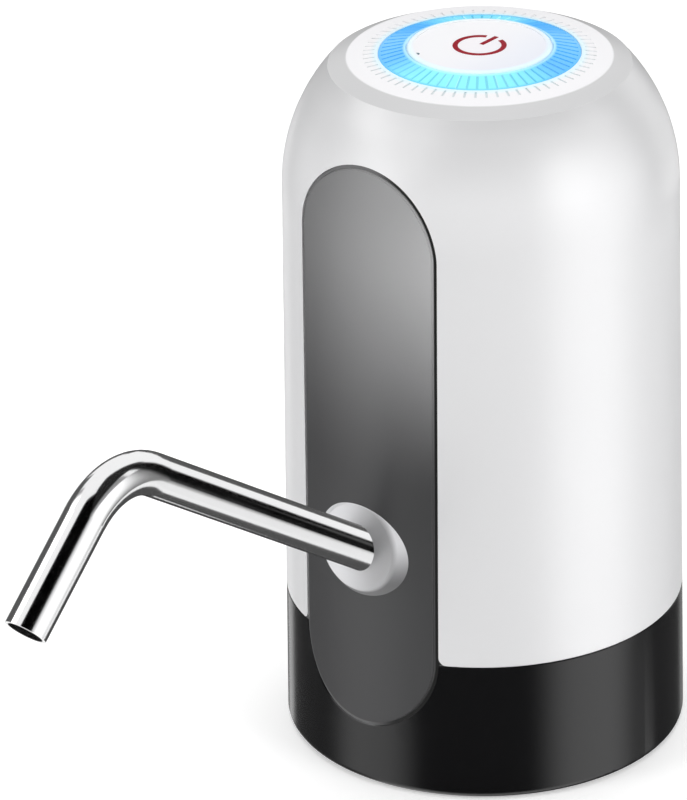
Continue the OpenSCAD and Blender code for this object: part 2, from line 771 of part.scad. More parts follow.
module upper_shell() color("white") difference() {
    union() {
        rotate([0, 0, -90]) rotate_extrude() difference() {
            body_profile(0, seam_z, crown_z);
            body_profile(wall, 0, crown_z - crown_t);
            square([crown_hole_r, 2 * crown_z]);
            seam_bevel(1);
        }
        intersection() {
            at_angles(case_angles, case_orbit)
                translate([0, 0, seam_z + fit]) cylinder(r = case_boss_r, h = case_boss_h);
            body_solid(wall / 2, 0, shoulder_z);
        }
    }
    window_prism(0);
    front_prism() for (s = [-1, 1]) difference() {
        translate([s * (window_hw + corner_r / 2 - fit), seam_z + corner_r / 2 - fit])
            square([corner_r + 2 * fit, corner_r + 2 * fit], center = true);
        translate([s * (window_hw + corner_r), seam_z + corner_r]) circle(r = corner_r);
    }
    usb_cut();
    at_angles(case_angles, case_orbit) translate([0, 0, seam_z - over])
        cylinder(r = screw_r + fit, h = case_boss_h);
}

// Oblong hole for the charging plug through the back of the shell
module usb_cut() {
    translate([0, body_d / 2 + over, usb_z]) rotate([90, 0, 0]) linear_extrude(wall + 4 * over) {
        for (s = [-1, 1]) translate([s * (port_hw - port_hh), 0]) circle(r = port_hh);
        square([2 * (port_hw - port_hh), 2 * port_hh], center = true);
    }
}

// Half section of the base, turned about the body's axis
module base_profile() {
    difference() {
        union() {
            intersection() {
                body_profile(0, 0, seam_z);
                union() {
                    translate([0, foot_round]) square([body_d, seam_z]);
                    square([body_d / 2 - foot_round, seam_z]);
                    translate([body_d / 2 - foot_round, foot_round]) circle(r = foot_round);
                }
            }
            difference() {
                body_profile(wall + fit, seam_z - over, lip_z);
                body_profile(wall + fit + lip_t, 0, lip_z + over);
            }
        }
        square([socket_bore_r, socket_depth]);
        square([stem_step_r + fit, lip_z]);
        polygon([[0, -over], [socket_bore_r + mouth_chamfer + over, -over], [socket_bore_r, mouth_chamfer],
            [0, mouth_chamfer]]);
        translate([0, seal_z]) square([socket_bore_r + seal_groove, seal_h]);
        seam_bevel(-1);
    }
}

module base_shell() color("black") difference() {
    rotate_extrude() base_profile();
    for (a = core_angles) rotate([0, 0, a - core_sweep / 2]) rotate_extrude(angle = core_sweep)
        translate([socket_bore_r + socket_wall, -over])
            square([body_d / 2 - 2 * wall - socket_bore_r, core_h + over]);
    at_angles(case_angles, case_orbit) {
        translate([0, 0, -over]) cylinder(r = screw_head_r + slide_gap, h = core_h + over);
        cylinder(r = screw_r + fit, h = lip_z);
        translate([0, 0, seam_z - fit]) cylinder(r = case_boss_r + slide_gap, h = lip_h + over);
    }
    difference() {
        window_prism(0);
        body_solid(window_in, 0, crown_z);
    }
    at_angles(chassis_angles, chassis_orbit) translate([0, 0, socket_depth + pilot_floor])
        cylinder(r = screw_r + fit, h = seam_z);
}

module panel_carrier() color("black") difference() {
    union() {
        difference() {
            intersection() {
                body_solid(rim_sink, 0, crown_z);
                window_prism(-fit);
            }
            body_solid(window_in - fit / 2, 0, crown_z);
        }
        difference() {
            intersection() {
                body_solid(window_in - fit / 2, lip_z + slide_gap, crown_z);
                window_prism(flange_w);
            }
            body_solid(carrier_back, 0, crown_z);
        }
    }
    difference() {
        panel_prism(fit);
        body_solid(panel_t - panel_proud + fit, 0, crown_z);
    }
    at_spout() cylinder(r = sleeve_r + fit, h = 4 * collar_r, center = true);
}

module front_panel() color("dimgray") difference() {
    intersection() {
        body_solid(-panel_proud, 0, crown_z);
        panel_prism(0);
    }
    body_solid(panel_t - panel_proud, 0, crown_z);
    difference() {
        panel_prism(over);
        panel_prism(-panel_edge);
        body_solid(panel_edge - panel_proud, 0, crown_z);
    }
    at_spout() cylinder(r = sleeve_r + fit, h = 4 * collar_r, center = true);
}

module top_bezel() color("white") difference() {
    union() {
        rotate_extrude() difference() {
            polygon([[0, ring_flange_z1 + fit], [spigot_r, ring_flange_z1 + fit], [spigot_r, crown_z],
                [crown_r - fit, crown_z], [bezel_flat_r, bezel_z], [ring_r + fit, bezel_z + bezel_dome],
                [0, bezel_z + bezel_dome]]);
            square([ring_r + fit, 2 * total_z]);
        }
        translate([0, 0, switch_board_z])
            tube(spigot_r, spigot_r - spigot_t, ring_flange_z1 + 2 * fit - switch_board_z);
        ring_of(board_screw_count, 0) rotate([0, 0, -hook_sweep / 2 + 60]) rotate_extrude(angle = hook_sweep)
            polygon([[spigot_r - spigot_t / 2, crown_z - crown_t - hook_h],
                [spigot_r, crown_z - crown_t - hook_h],
                [spigot_r + hook_reach, crown_z - crown_t - fit - hook_tip],
                [spigot_r + hook_reach, crown_z - crown_t - fit],
                [spigot_r - spigot_t / 2, crown_z - crown_t - fit]]);
        intersection() {
            ring_of(board_screw_count, board_screw_orbit)
                translate([0, 0, switch_board_z]) cylinder(r = board_boss_r, h = board_boss_h);
            cylinder(r = spigot_r - spigot_t / 2, h = total_z);
        }
    }
    ring_of(board_screw_count, board_screw_orbit)
        translate([0, 0, switch_board_z - over]) cylinder(r = screw_r + fit, h = board_boss_h);
    ring_of(tick_count, tick_r) translate([0, 0, bezel_z + (bezel_flat_r - tick_r) * tan(bezel_lean)])
        rotate([0, bezel_lean, 0]) cube([tick_l, tick_w, 2 * tick_d], center = true);
}

module light_ring() color("deepskyblue") difference() {
    rotate_extrude() {
        polygon([[ring_in_r, ring_z0], [ring_r, ring_z0], [ring_r, ring_z1], [ring_in_r, ring_z1 + ring_rise]]);
        translate([ring_in_r, ring_flange_z1 - ring_flange_t])
            square([ring_r - ring_in_r + ring_flange_w, ring_flange_t]);
    }
    ring_of(ring_ribs, (ring_r + ring_in_r) / 2)
        translate([0, 0, ring_z1 + ring_rise / 2]) rotate([0, ring_lean, 0])
            cube([ring_r - ring_in_r - 2 * ring_land, ring_groove_w, 2 * ring_groove_d], center = true);
}

module power_button() color("white") {
    rotate_extrude() {
        difference() {
            union() {
                square([button_r - button_round, button_z1]);
                square([button_r, button_z1 - button_round]);
                translate([button_r - button_round, button_z1 - button_round]) circle(r = button_round);
                square([button_r + button_flange_w, button_flange_z1]);
            }
            square([button_r - button_wall, button_z1 - button_t]);
            translate([0, button_z1 - dish_d]) square([button_r - dish_rim, 2 * dish_d]);
            square([2 * button_r, button_z0]);
        }
        translate([0, plunger_z1]) square([stem_r, button_z1 - button_t / 2 - plunger_z1]);
    }
}

module spout_collar() color("silver") {
    difference() {
        union() {
            difference() {
                translate([0, -spout_y, spout_z]) rotate([90 - collar_tilt, 0, 0]) rotate_extrude()
                    polygon([[0, -2 * collar_h], [collar_r, -2 * collar_h], [collar_r, -collar_h],
                        [collar_face_r, -collar_round], [collar_face_r - collar_round, 0], [0, 0]]);
                body_solid(-panel_proud - fit / 4, 0, crown_z);
            }
            intersection() {
                at_spout() translate([0, 0, -sleeve_depth])
                    cylinder(r = sleeve_r, h = sleeve_depth - 2 * collar_round);
                translate([0, -spout_y, spout_z]) rotate([90 - collar_tilt, 0, 0])
                    translate([0, 0, -2 * sleeve_depth - collar_round])
                        cylinder(r = 2 * collar_r, h = 2 * sleeve_depth);
            }
        }
        at_spout() cylinder(r = sleeve_bore, h = 6 * collar_r, center = true);
    }
}

// The spout's centre line with one bend, as a solid rod
module spout_rod(r, extra) {
    translate([0, 0, -spout_plug - extra]) cylinder(r = r, h = spout_run - spout_trim + spout_plug + extra);
    translate([0, -spout_bend_r, spout_run - spout_trim]) {
        rotate([90, 0, 90]) rotate_extrude(angle = spout_turn) translate([spout_bend_r, 0]) circle(r = r);
        rotate([spout_turn, 0, 0]) translate([0, spout_bend_r, -bend_lap])
            cylinder(r = r - bend_step, h = spout_drop - spout_trim + bend_lap + extra);
    }
}

module spout_tube() color("silver") at_spout() difference() {
    spout_rod(spout_r, 0);
    spout_rod(spout_r - spout_wall, over);
}

module spout_socket() color("gainsboro") difference() {
    union() {
        intersection() {
            at_spout() translate([0, 0, -socket_end]) cylinder(r = socket_r, h = 3 * socket_end);
            body_solid(carrier_back + fit / 2, 0, crown_z);
        }
        at_spout() translate([0, 0, -socket_end - chamber_l]) cylinder(r = chamber_r, h = chamber_l + over);
        translate([0, -barb_y, barb_z]) rotate([0, 90, 0]) cylinder(r = nozzle_r, h = barb_l);
    }
    at_spout() {
        translate([0, 0, -sleeve_depth - fit]) cylinder(r = sleeve_r + fit, h = 3 * socket_end);
        translate([0, 0, -socket_end]) cylinder(r = sleeve_bore, h = socket_end);
        for (d = seal_depth) translate([0, 0, -d - seal_t / 2 - fit])
            cylinder(r = spout_r + run_gap + seal_t + fit, h = seal_t + 2 * fit);
        translate([0, 0, -socket_end - chamber_l + chamber_floor])
            cylinder(r = spout_r - spout_wall, h = chamber_l);
    }
    translate([0, -barb_y, barb_z]) rotate([0, 90, 0]) cylinder(r = nozzle_bore, h = barb_l + over);
}

module spout_seals() color("dimgray") at_spout() for (d = seal_depth) translate([0, 0, -d])
    rotate_extrude() translate([spout_r + run_gap + seal_t / 2, 0]) circle(r = seal_t / 2);

module switch_board() color("darkgreen") difference() {
    translate([0, 0, switch_board_z - board_t]) cylinder(r = switch_board_r, h = board_t);
    ring_of(board_screw_count, board_screw_orbit)
        translate([0, 0, switch_board_z - board_t - over])
            cylinder(r = screw_r + fit, h = board_t + 2 * over);
}

module ring_leds() color("lightcyan") ring_of(led_count, led_orbit, led_start)
    translate([-led_w / 2, -led_l / 2, switch_board_z]) cube([led_w, led_l, led_h]);

module tact_switch() color("dimgray") difference() {
    translate([-tact_w / 2, -tact_w / 2, switch_board_z]) cube([tact_w, tact_w, tact_h]);
    translate([0, 0, plunger_z0 - button_travel - slide_gap]) cylinder(r = tact_r + slide_gap, h = tact_h);
}

module tact_plunger() color("black") translate([0, 0, plunger_z0])
    cylinder(r = tact_r, h = plunger_z1 - plunger_z0);

module board_screws() color("silver") ring_of(board_screw_count, board_screw_orbit)
    translate([0, 0, switch_board_z - board_t]) rotate([180, 0, 0]) screw(board_t + board_screw_hold);

module chassis() color("ivory") {
    difference() {
        union() {
            translate([0, 0, seam_z]) cylinder(r = chassis_r, h = chassis_t);
            translate([-plate_hw, plate_y, floor_z - over])
                cube([2 * plate_hw, plate_t, plate_z - floor_z + over]);
            for (z = clip_rise) translate([-cell_x, 0, floor_z + z]) difference() {
                union() {
                    cylinder(r = cell_d / 2 + fit + clip_t, h = clip_h);
                    translate([-clip_t, 0, 0]) cube([2 * clip_t, plate_y + plate_t / 2, clip_h]);
                }
                translate([0, 0, -over]) cylinder(r = cell_d / 2 + fit, h = clip_h + 2 * over);
                translate([-clip_gap / 2, -cell_d, -over]) cube([clip_gap, cell_d, clip_h + 2 * over]);
            }
            difference() {
                translate([pump_x - saddle_hw, saddle_y, saddle_z])
                    cube([2 * saddle_hw, plate_y - saddle_y + plate_t / 2, saddle_h]);
                at_pump(0) cylinder(r = motor_r + fit, h = plate_z);
            }
            at_pump(floor_z - over) at_angles(post_angles, post_orbit)
                cylinder(r = post_r, h = pump_z - pad_t - floor_z + over);
            main_posts() cylinder(r = main_post_r, h = main_gap + over);
        }
        at_angles(case_angles, case_orbit) translate([0, 0, seam_z - over])
            cylinder(r = case_boss_r + slide_gap, h = chassis_t + 2 * over);
        at_angles(chassis_angles, chassis_orbit) translate([0, 0, seam_z - over])
            cylinder(r = screw_r + fit, h = chassis_t + 2 * over);
        translate([0, 0, seam_z - over]) cylinder(r = stem_flange_r + fit, h = stem_flange_t + fit + over);
        cylinder(r = hose_r + slide_gap, h = pump_z);
        main_posts() cylinder(r = screw_r + fit, h = main_gap + over);
        at_pump(strap_z - fit) cylinder(r = motor_r + strap_t + slide_gap, h = strap_w + 2 * fit);
        translate([-lead_hole_x, 0, lead_hole_z]) rotate([-90, 0, 0])
            cylinder(r = lead_hole_r, h = 2 * plate_y);
    }
}

// Posts on the back plate that carry the main board, with local +Z pointing back
module main_posts() {
    for (s = [-1, 1]) for (z = [main_post_z, main_h - main_post_z])
        translate([s * (main_hw - main_post_x), main_y - main_gap - over, main_z0 + z])
            rotate([-90, 0, 0]) children();
}

module chassis_screws() color("silver") at_angles(chassis_angles, chassis_orbit)
    translate([0, 0, floor_z]) screw(chassis_t + chassis_hold);

module case_screws() color("silver") at_angles(case_angles, case_orbit)
    translate([0, 0, core_h]) rotate([180, 0, 0]) screw(seam_z - core_h + case_boss_h / 2);

module battery_cell() color("steelblue") translate([-cell_x, 0, cell_z]) {
    cylinder(r = cell_d / 2, h = cell_l);
    translate([0, 0, cell_l - over]) cylinder(r = cell_cap_r, h = cell_cap_h + over);
}

module battery_tabs() color("silver") translate([-cell_x, 0, 0]) {
    translate([-tab_w / 2, -tab_w / 2, cell_z + cell_l + cell_cap_h]) cube([tab_w, tab_top_l, tab_t]);
    translate([-tab_w / 2, -tab_w / 2, floor_z + fit]) cube([tab_w, tab_low_l, tab_t]);
}

module main_board() color("darkgreen") difference() {
    translate([-main_hw, main_y, main_z0]) cube([2 * main_hw, board_t, main_h]);
    main_posts() cylinder(r = screw_r + fit, h = main_gap + 2 * board_t);
}

module board_chips() color("black") translate([0, main_y + board_t, main_z0]) {
    translate([-chip_w, 0, chip_z]) cube([chip_w, chip_t, chip_w]);
    translate([chip_w / 2, 0, chip_z]) cube([chip_w / 2, chip_t, chip_w / 2]);
    translate([0, chip_t, coil_z]) rotate([90, 0, 0]) cylinder(r = coil_r, h = chip_t);
}

module usb_outline(grow) {
    r = usb_hh + grow;
    for (s = [-1, 1]) translate([s * (usb_hw - usb_hh), 0]) circle(r = r);
    square([2 * (usb_hw - usb_hh), 2 * r], center = true);
}

// Charging socket that stands on the main board and ends just inside the shell
module usb_socket() color("silver") {
    length = port_y - slide_gap - main_y - board_t;
    translate([0, port_y - slide_gap, usb_z]) rotate([90, 0, 0]) {
        difference() {
            linear_extrude(length) usb_outline(0);
            translate([0, 0, -over]) linear_extrude(length - over) usb_outline(-usb_wall);
        }
        translate([-tongue_hw, -tongue_t / 2, tongue_t]) cube([2 * tongue_hw, tongue_t, length - tongue_t]);
    }
}

module main_screws() color("silver") main_posts()
    translate([0, 0, main_gap + over + board_t]) screw(board_t + main_hold);

module motor_can() color("silver") at_pump(motor_z) difference() {
    union() {
        cylinder(r = motor_r, h = motor_l);
        translate([0, 0, -boss_h]) cylinder(r = boss_r, h = boss_h + over);
    }
    translate([0, 0, can_floor]) cylinder(r = motor_r - can_t, h = motor_l);
    translate([0, 0, -boss_h - over]) cylinder(r = bush_r + fit, h = boss_h + 3 * over);
}

module motor_end_cap() color("white") at_pump(can_z1) difference() {
    union() {
        cylinder(r = motor_r, h = end_cap_t);
        cylinder(r = boss_r, h = end_cap_t + boss_h);
    }
    translate([0, 0, -over]) cylinder(r = bush_r + fit, h = end_cap_t + boss_h - cap_floor + over);
}

module motor_magnets() color("dimgray") at_pump(armature_z0 - magnet_lap) for (a = [0, 180])
    rotate([0, 0, a - magnet_sweep / 2]) rotate_extrude(angle = magnet_sweep)
        translate([motor_r - can_t - fit - magnet_t, 0]) square([magnet_t, magnet_l]);

module motor_bushes() color("goldenrod") {
    at_pump(motor_z - boss_h) tube(bush_r, shaft_r + run_gap, boss_h + can_t);
    at_pump(can_z1) tube(bush_r, shaft_r + run_gap, end_cap_t + boss_h - cap_floor - fit);
}

module motor_brushes() color("black") at_pump(can_z1 - brush_h) for (a = [90, 270]) rotate([0, 0, a])
    translate([commutator_r + run_gap, -brush_w / 2, 0]) cube([brush_l, brush_w, brush_h]);

module motor_tabs() color("silver") at_pump(end_cap_z1) for (s = [-1, 1])
    translate([s * motor_tab_x - motor_tab_w / 2, -motor_tab_t / 2, 0])
        cube([motor_tab_w, motor_tab_t, motor_tab_h]);

module motor_shaft() color("silver") at_pump(eccentric_z1 - eccentric_hold)
    cylinder(r = shaft_r, h = boss_z1 - 2 * cap_floor - eccentric_z1 + eccentric_hold);

module armature() color("peru") at_pump(armature_z0) difference() {
    cylinder(r = armature_r, h = armature_l);
    translate([0, 0, -over]) cylinder(r = shaft_r + fit / 4, h = armature_l + 2 * over);
    ring_of(armature_poles, armature_r)
        cube([2 * armature_slot_d, armature_slot_w, 3 * armature_l], center = true);
}

module commutator() color("orange") at_pump(commutator_z0)
    tube(commutator_r, shaft_r + fit / 4, commutator_l);

// Band tie round the motor, with its lock in front
module motor_strap() color("black") at_pump(strap_z) {
    tube(motor_r + fit + strap_t, motor_r + fit, strap_w);
    rotate([0, 0, strap_lock]) translate([motor_r + fit + strap_t / 2, -strap_w / 2, -strap_t / 2])
        cube([strap_w / 2, strap_w, strap_w + strap_t]);
}

module pump_body() color("white") at_pump(pump_body_z) difference() {
    union() {
        cylinder(r = pump_r, h = pump_body_h);
        pump_ears() cylinder(r = screw_head_r, h = ear_h);
    }
    translate([0, 0, -over]) cylinder(r = pump_r - pump_wall, h = pump_body_h - pump_plate_t + over);
    cylinder(r = boss_r + fit, h = 2 * pump_body_h);
    pump_ears() translate([0, 0, -over]) cylinder(r = screw_r + fit, h = ear_h);
}

module pump_ears() {
    ring_of(ear_count, ear_orbit, ear_start) children();
}

module eccentric() color("ivory") difference() {
    at_pump(eccentric_z0) cylinder(r = eccentric_r, h = eccentric_h);
    at_pump(eccentric_z1 - eccentric_hold) cylinder(r = shaft_r + fit / 4, h = eccentric_h);
    at_wobble() cylinder(r = wobble_stem_r + run_gap, h = (bore_z1 - wobble_z) / cos(wobble_tilt));
}

// Frame of the wobble plate, with local +Z along its tilted stem
module at_wobble() {
    at_pump(wobble_z) rotate([0, wobble_tilt, 0]) children();
}

module wobble_plate() color("whitesmoke") at_wobble() difference() {
    union() {
        translate([0, 0, -wobble_t / 2]) cylinder(r = wobble_hub_r, h = wobble_t);
        cylinder(r = wobble_stem_r, h = (bore_z1 - wobble_z) / cos(wobble_tilt) - wobble_end);
        for (a = cup_angles) rotate([0, 0, a]) {
            translate([0, -wobble_arm_w / 2, -wobble_t / 2]) cube([cup_orbit, wobble_arm_w, wobble_t]);
            translate([cup_orbit, 0, -wobble_t / 2]) cylinder(r = wobble_pad_r, h = wobble_t);
        }
    }
    for (a = cup_angles) rotate([0, 0, a]) translate([cup_orbit, 0, -wobble_t])
        cylinder(r = wobble_hole_r, h = 2 * wobble_t);
}

module diaphragm() color("dimgray") {
    difference() {
        union() {
            at_pump(diaphragm_z) cylinder(r = plate_r, h = diaphragm_t);
            for (a = cup_angles) at_pump(diaphragm_z) rotate([0, 0, a]) translate([cup_orbit, 0, 0])
                cylinder(r1 = cup_r + cup_t, r2 = wobble_pad_r + cup_t / 2, h = cup_top(a));
            at_wobble() for (a = cup_angles) rotate([0, 0, a]) translate([cup_orbit, 0, 0]) {
                translate([0, 0, -wobble_t / 2 - cup_end])
                    cylinder(r = knob_r, h = wobble_t + cup_end + bead_h / 2);
                translate([0, 0, wobble_t / 2 + fit]) cylinder(r1 = bead_r, r2 = knob_r, h = bead_h);
            }
        }
        for (a = cup_angles) at_pump(diaphragm_z - over) rotate([0, 0, a]) translate([cup_orbit, 0, 0])
            cylinder(r1 = cup_r, r2 = wobble_pad_r - cup_t / 2, h = cup_top(a) + over - cup_end);
    }
}

// Height of a diaphragm cup's top, under the tilted wobble plate
function cup_top(a) = diaphragm_t + wobble_rise - wobble_t / 2 - cup_gap
    - cup_orbit * sin(wobble_tilt) * cos(a);

module valve_plate() color("white") at_pump(valve_z) difference() {
    cylinder(r = plate_r, h = valve_plate_t);
    translate([0, 0, -over]) {
        cylinder(r = valve_stem_r + fit, h = valve_plate_t + 2 * over);
        at_angles(cup_angles, inlet_orbit) {
            cylinder(r = valve_stem_r + fit, h = valve_plate_t + 2 * over);
            for (s = [-1, 1]) translate([0, s * port_step, 0])
                cylinder(r = port_r, h = valve_plate_t + 2 * over);
        }
        at_angles(cup_angles, outlet_orbit) cylinder(r = port_r, h = valve_plate_t + 2 * over);
    }
}

module inlet_valves() color("firebrick") at_pump(diaphragm_z) at_angles(cup_angles, inlet_orbit) {
    cylinder(r = inlet_valve_r, h = valve_t);
    translate([0, 0, -valve_plate_t]) cylinder(r = valve_stem_r, h = valve_plate_t + valve_t / 2);
}

module outlet_valve() color("firebrick") at_pump(valve_z) {
    translate([0, 0, -valve_t]) cylinder(r = outlet_valve_r, h = valve_t);
    translate([0, 0, -valve_t / 2]) cylinder(r = valve_stem_r, h = valve_plate_t + valve_t / 2);
}

module pump_cover() color("white") difference() {
    union() {
        difference() {
            at_pump(pump_z) {
                cylinder(r = pump_r, h = cover_h);
                pump_ears() cylinder(r = screw_head_r, h = cover_h);
            }
            translate([hose_x, 0, barb_z]) rotate([90, 0, 0]) {
                translate([0, 0, nozzle_root]) cylinder(r = hose_r + slide_gap, h = pump_r);
                translate([0, 0, clip_root]) cylinder(r = hose_r + hose_clip_t + slide_gap, h = pump_r);
            }
        }
        translate([hose_x, -pump_r / 2, barb_z]) rotate([90, 0, 0])
            cylinder(r = nozzle_r, h = barb_y - hose_bend_r - hose_end - pump_r / 2);
        translate([0, 0, pump_z - inlet_l]) cylinder(r = nozzle_r, h = inlet_l + over);
    }
    at_pump(pump_z + cover_h - gallery_h) tube(gallery_r, gallery_in_r, gallery_h + over);
    translate([0, 0, pump_z - inlet_l - over])
        cylinder(r = nozzle_bore, h = inlet_l + over + cover_h - gallery_h / 2);
    at_pump(barb_z - nozzle_bore) cylinder(r = gallery_in_r - gallery_wall, h = cover_h);
    translate([pump_x, 0, barb_z]) rotate([0, 90, 0]) cylinder(r = nozzle_bore, h = outlet_x);
    translate([hose_x, 0, barb_z]) rotate([90, 0, 0]) cylinder(r = nozzle_bore, h = barb_y);
    at_pump(pump_z - over) pump_ears() cylinder(r = screw_r + fit, h = cover_h + 2 * over);
}

module pump_screws() color("silver") at_pump(pump_z) pump_ears()
    rotate([180, 0, 0]) screw(pump_body_z - pump_z + ear_hold);

module pump_pads() color("dimgray") at_pump(pump_z - pad_t)
    at_angles(post_angles, post_orbit) cylinder(r = post_r, h = pad_t);

module intake_stem() color("white") difference() {
    union() {
        translate([0, 0, seam_z]) cylinder(r = stem_flange_r, h = stem_flange_t);
        translate([0, 0, socket_depth])
            cylinder(r = stem_step_r, h = seam_z - socket_depth + stem_flange_t / 2);
        translate([0, 0, socket_depth - spigot_pin_l + spigot_tip])
            cylinder(r = spigot_pin_r, h = spigot_pin_l - spigot_tip + over);
        translate([0, 0, socket_depth - spigot_pin_l])
            cylinder(r1 = spigot_pin_r - spigot_tip, r2 = spigot_pin_r, h = spigot_tip);
        translate([0, 0, seam_z]) cylinder(r = nozzle_r, h = pump_z - inlet_l - barb_gap - seam_z);
    }
    cylinder(r = stem_bore_r, h = pump_z);
}

module neck_seal() color("dimgray") rotate_extrude() {
    translate([socket_bore_r, seal_z + fit]) square([seal_groove - fit, seal_h - 2 * fit]);
    polygon([[socket_bore_r + fit, seal_z + fit], [socket_bore_r + fit, seal_z + seal_h - fit],
        [socket_bore_r - seal_lip, seal_z + seal_h - fit], [socket_bore_r - seal_lip, seal_z + seal_h / 2]]);
}

module inlet_hose() color("lightblue") translate([0, 0, seam_z + stem_flange_t + slide_gap])
    tube(hose_r, hose_in_r, pump_z - seam_z - stem_flange_t - 2 * slide_gap);

module outlet_hose() color("lightblue") translate([0, -barb_y, barb_z]) difference() {
    hose_rod(hose_r, 0);
    hose_rod(hose_in_r, over);
}

// Centre line of the outlet hose: out of the spout socket to the right, then back to the pump
module hose_rod(r, extra) {
    translate([hose_start - extra, 0, 0]) rotate([0, 90, 0])
        cylinder(r = r, h = hose_x - hose_bend_r - hose_start + extra);
    translate([hose_x - hose_bend_r, hose_bend_r, 0]) rotate([0, 0, -90]) rotate_extrude(angle = 90)
        translate([hose_bend_r, 0]) circle(r = r);
    translate([hose_x, hose_bend_r, 0]) rotate([-90, 0, 0])
        cylinder(r = r, h = barb_y - hose_bend_r - nozzle_root - slide_gap + extra);
}

// Spring clip round a hose, with two ears to squeeze it open
module hose_clip() {
    tube(hose_r + fit / 4 + hose_clip_t, hose_r + fit / 4, hose_clip_w);
    for (s = [-1, 1]) translate([s * hose_clip_w / 2 - hose_clip_t / 2, hose_r + hose_clip_t / 2, 0])
        cube([hose_clip_t, hose_clip_w, hose_clip_w]);
}

module hose_clips() color("silver") {
    for (z = [floor_z + fit, pump_z - hose_clip_w - slide_gap]) translate([0, 0, z])
        rotate([0, 0, clip_turn]) hose_clip();
    translate([socket_r + slide_gap, -barb_y, barb_z]) rotate([0, 90, 0]) rotate([0, 0, 90]) hose_clip();
    translate([hose_x, -clip_root - slide_gap, barb_z]) rotate([90, 0, 0]) hose_clip();
}

// Point on a smooth curve between p1 and p2
function blend(p0, p1, p2, p3, t) = 0.5 * (2 * p1 + (p2 - p0) * t + (2 * p0 - 5 * p1 + 4 * p2 - p3) * t * t
    + (3 * p1 - p0 - 3 * p2 + p3) * t * t * t);

// Smooth path through the stations
function route(p) = concat([for (i = [0:len(p) - 2]) for (k = [0:route_steps - 1])
    blend(p[max(i - 1, 0)], p[i], p[i + 1], p[min(i + 2, len(p) - 1)], k / route_steps)], [p[len(p) - 1]]);

function unit(v) = v / norm(v);

// Round lead along a path, as rings of points joined into a skin; the path must not run along X
module lead(stations) {
    p = route(stations);
    last = len(p) - 1;
    rings = [for (i = [0:last])
        let (t = unit(p[min(i + 1, last)] - p[max(i - 1, 0)]),
            u = unit(cross([1, 0, 0], t)),
            v = cross(t, u))
        for (k = [0:lead_sides - 1])
            p[i] + lead_r * (u * cos(k * 360 / lead_sides) + v * sin(k * 360 / lead_sides))];
    sides = [for (i = [0:last - 1]) for (k = [0:lead_sides - 1])
        let (a = i * lead_sides + k, b = i * lead_sides + (k + 1) % lead_sides)
        [a, a + lead_sides, b + lead_sides, b]];
    first = [for (k = [0:lead_sides - 1]) k];
    end = [for (k = [0:lead_sides - 1]) (last + 1) * lead_sides - 1 - k];
    polyhedron(points = rings, faces = concat(sides, [first, end]), convexity = 6);
}

// Stations of a lead behind the back plate and down the front of the main board, ending at x = end
function landing(start, end) = [[start, plate_y, plate_z + lead_arch],
    [start, plate_back, plate_z + 2 * lead_r], [(start + end) / 2, plate_back + lead_r, plate_z - lead_fall],
    [end, lead_y - 2 * lead_r, board_top + lead_fall - lead_pitch], [end, lead_y, board_top - lead_pitch],
    [end, lead_y, board_top - lead_pitch - lead_end]];

module battery_leads() color("crimson") {
    lead(concat([[-cell_x, cell_cap_r, cell_top + lead_r + fit],
        [-cell_x, plate_y / 2, cell_top + 2 * lead_r]], landing(-cell_x + lead_pitch, -3 * lead_pitch)));
    lead([[-cell_x, tab_low_l - tab_w / 2 - 2 * lead_r, floor_z + tab_t + 2 * fit + lead_r],
        [-cell_x + lead_pitch, plate_y - lead_arch / 2, floor_z + lead_arch],
        [-lead_hole_x, plate_y + plate_t / 2, lead_hole_z],
        [-lead_hole_x + lead_r, plate_back + lead_r, lead_hole_z + lead_end / 2],
        [-4 * lead_pitch, lead_y, lead_hole_z + lead_end],
        [-3 * lead_pitch, lead_y, lead_hole_z + 3 * lead_end / 2]]);
}

module motor_leads() color("orange") for (s = [-1, 1])
    lead(concat([[pump_x + s * motor_tab_x, motor_tab_t / 2 + lead_r + slide_gap, end_cap_z1 + lead_r + fit],
        [pump_x + s * motor_tab_x, motor_tab_t / 2 + 3 * lead_r, end_cap_z1 + motor_tab_h],
        [pump_x + s * motor_tab_x * 0.8, plate_y / 2, end_cap_z1 + motor_tab_h + lead_r]],
        landing(pump_x + s * 2 * lead_pitch, (2 + s) * lead_pitch)));

module switch_leads() color("ivory") for (x = [-1, 0])
    lead(concat([[x * lead_pitch, switch_board_r / 2, switch_board_z - board_t - 2 * fit],
        [x * lead_pitch, switch_board_r / 2, switch_board_z - board_t - lead_arch]],
        landing(x * lead_pitch, x * lead_pitch)));

upper_shell();
base_shell();
panel_carrier();
front_panel();
top_bezel();
light_ring();
power_button();
spout_collar();
spout_tube();
spout_socket();
spout_seals();
switch_board();
ring_leds();
tact_switch();
tact_plunger();
board_screws();
chassis();
chassis_screws();
case_screws();
battery_cell();
battery_tabs();
main_board();
board_chips();
usb_socket();
main_screws();
motor_can();
motor_end_cap();
motor_magnets();
motor_bushes();
motor_brushes();
motor_tabs();
motor_shaft();
armature();
commutator();
motor_strap();
pump_body();
eccentric();
wobble_plate();
diaphragm();
valve_plate();
inlet_valves();
outlet_valve();
pump_cover();
pump_screws();
pump_pads();
intake_stem();
neck_seal();
inlet_hose();
outlet_hose();
hose_clips();
battery_leads();
motor_leads();
switch_leads();
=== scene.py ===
"""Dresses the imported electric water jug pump: finishes for every part, the printed
power sign, the small pieces that the solids leave plain, and a studio stage."""

import json
import math

import bmesh
import bpy
from bpy.props import FloatProperty, FloatVectorProperty, IntProperty, PointerProperty
from mathutils import Matrix, Vector


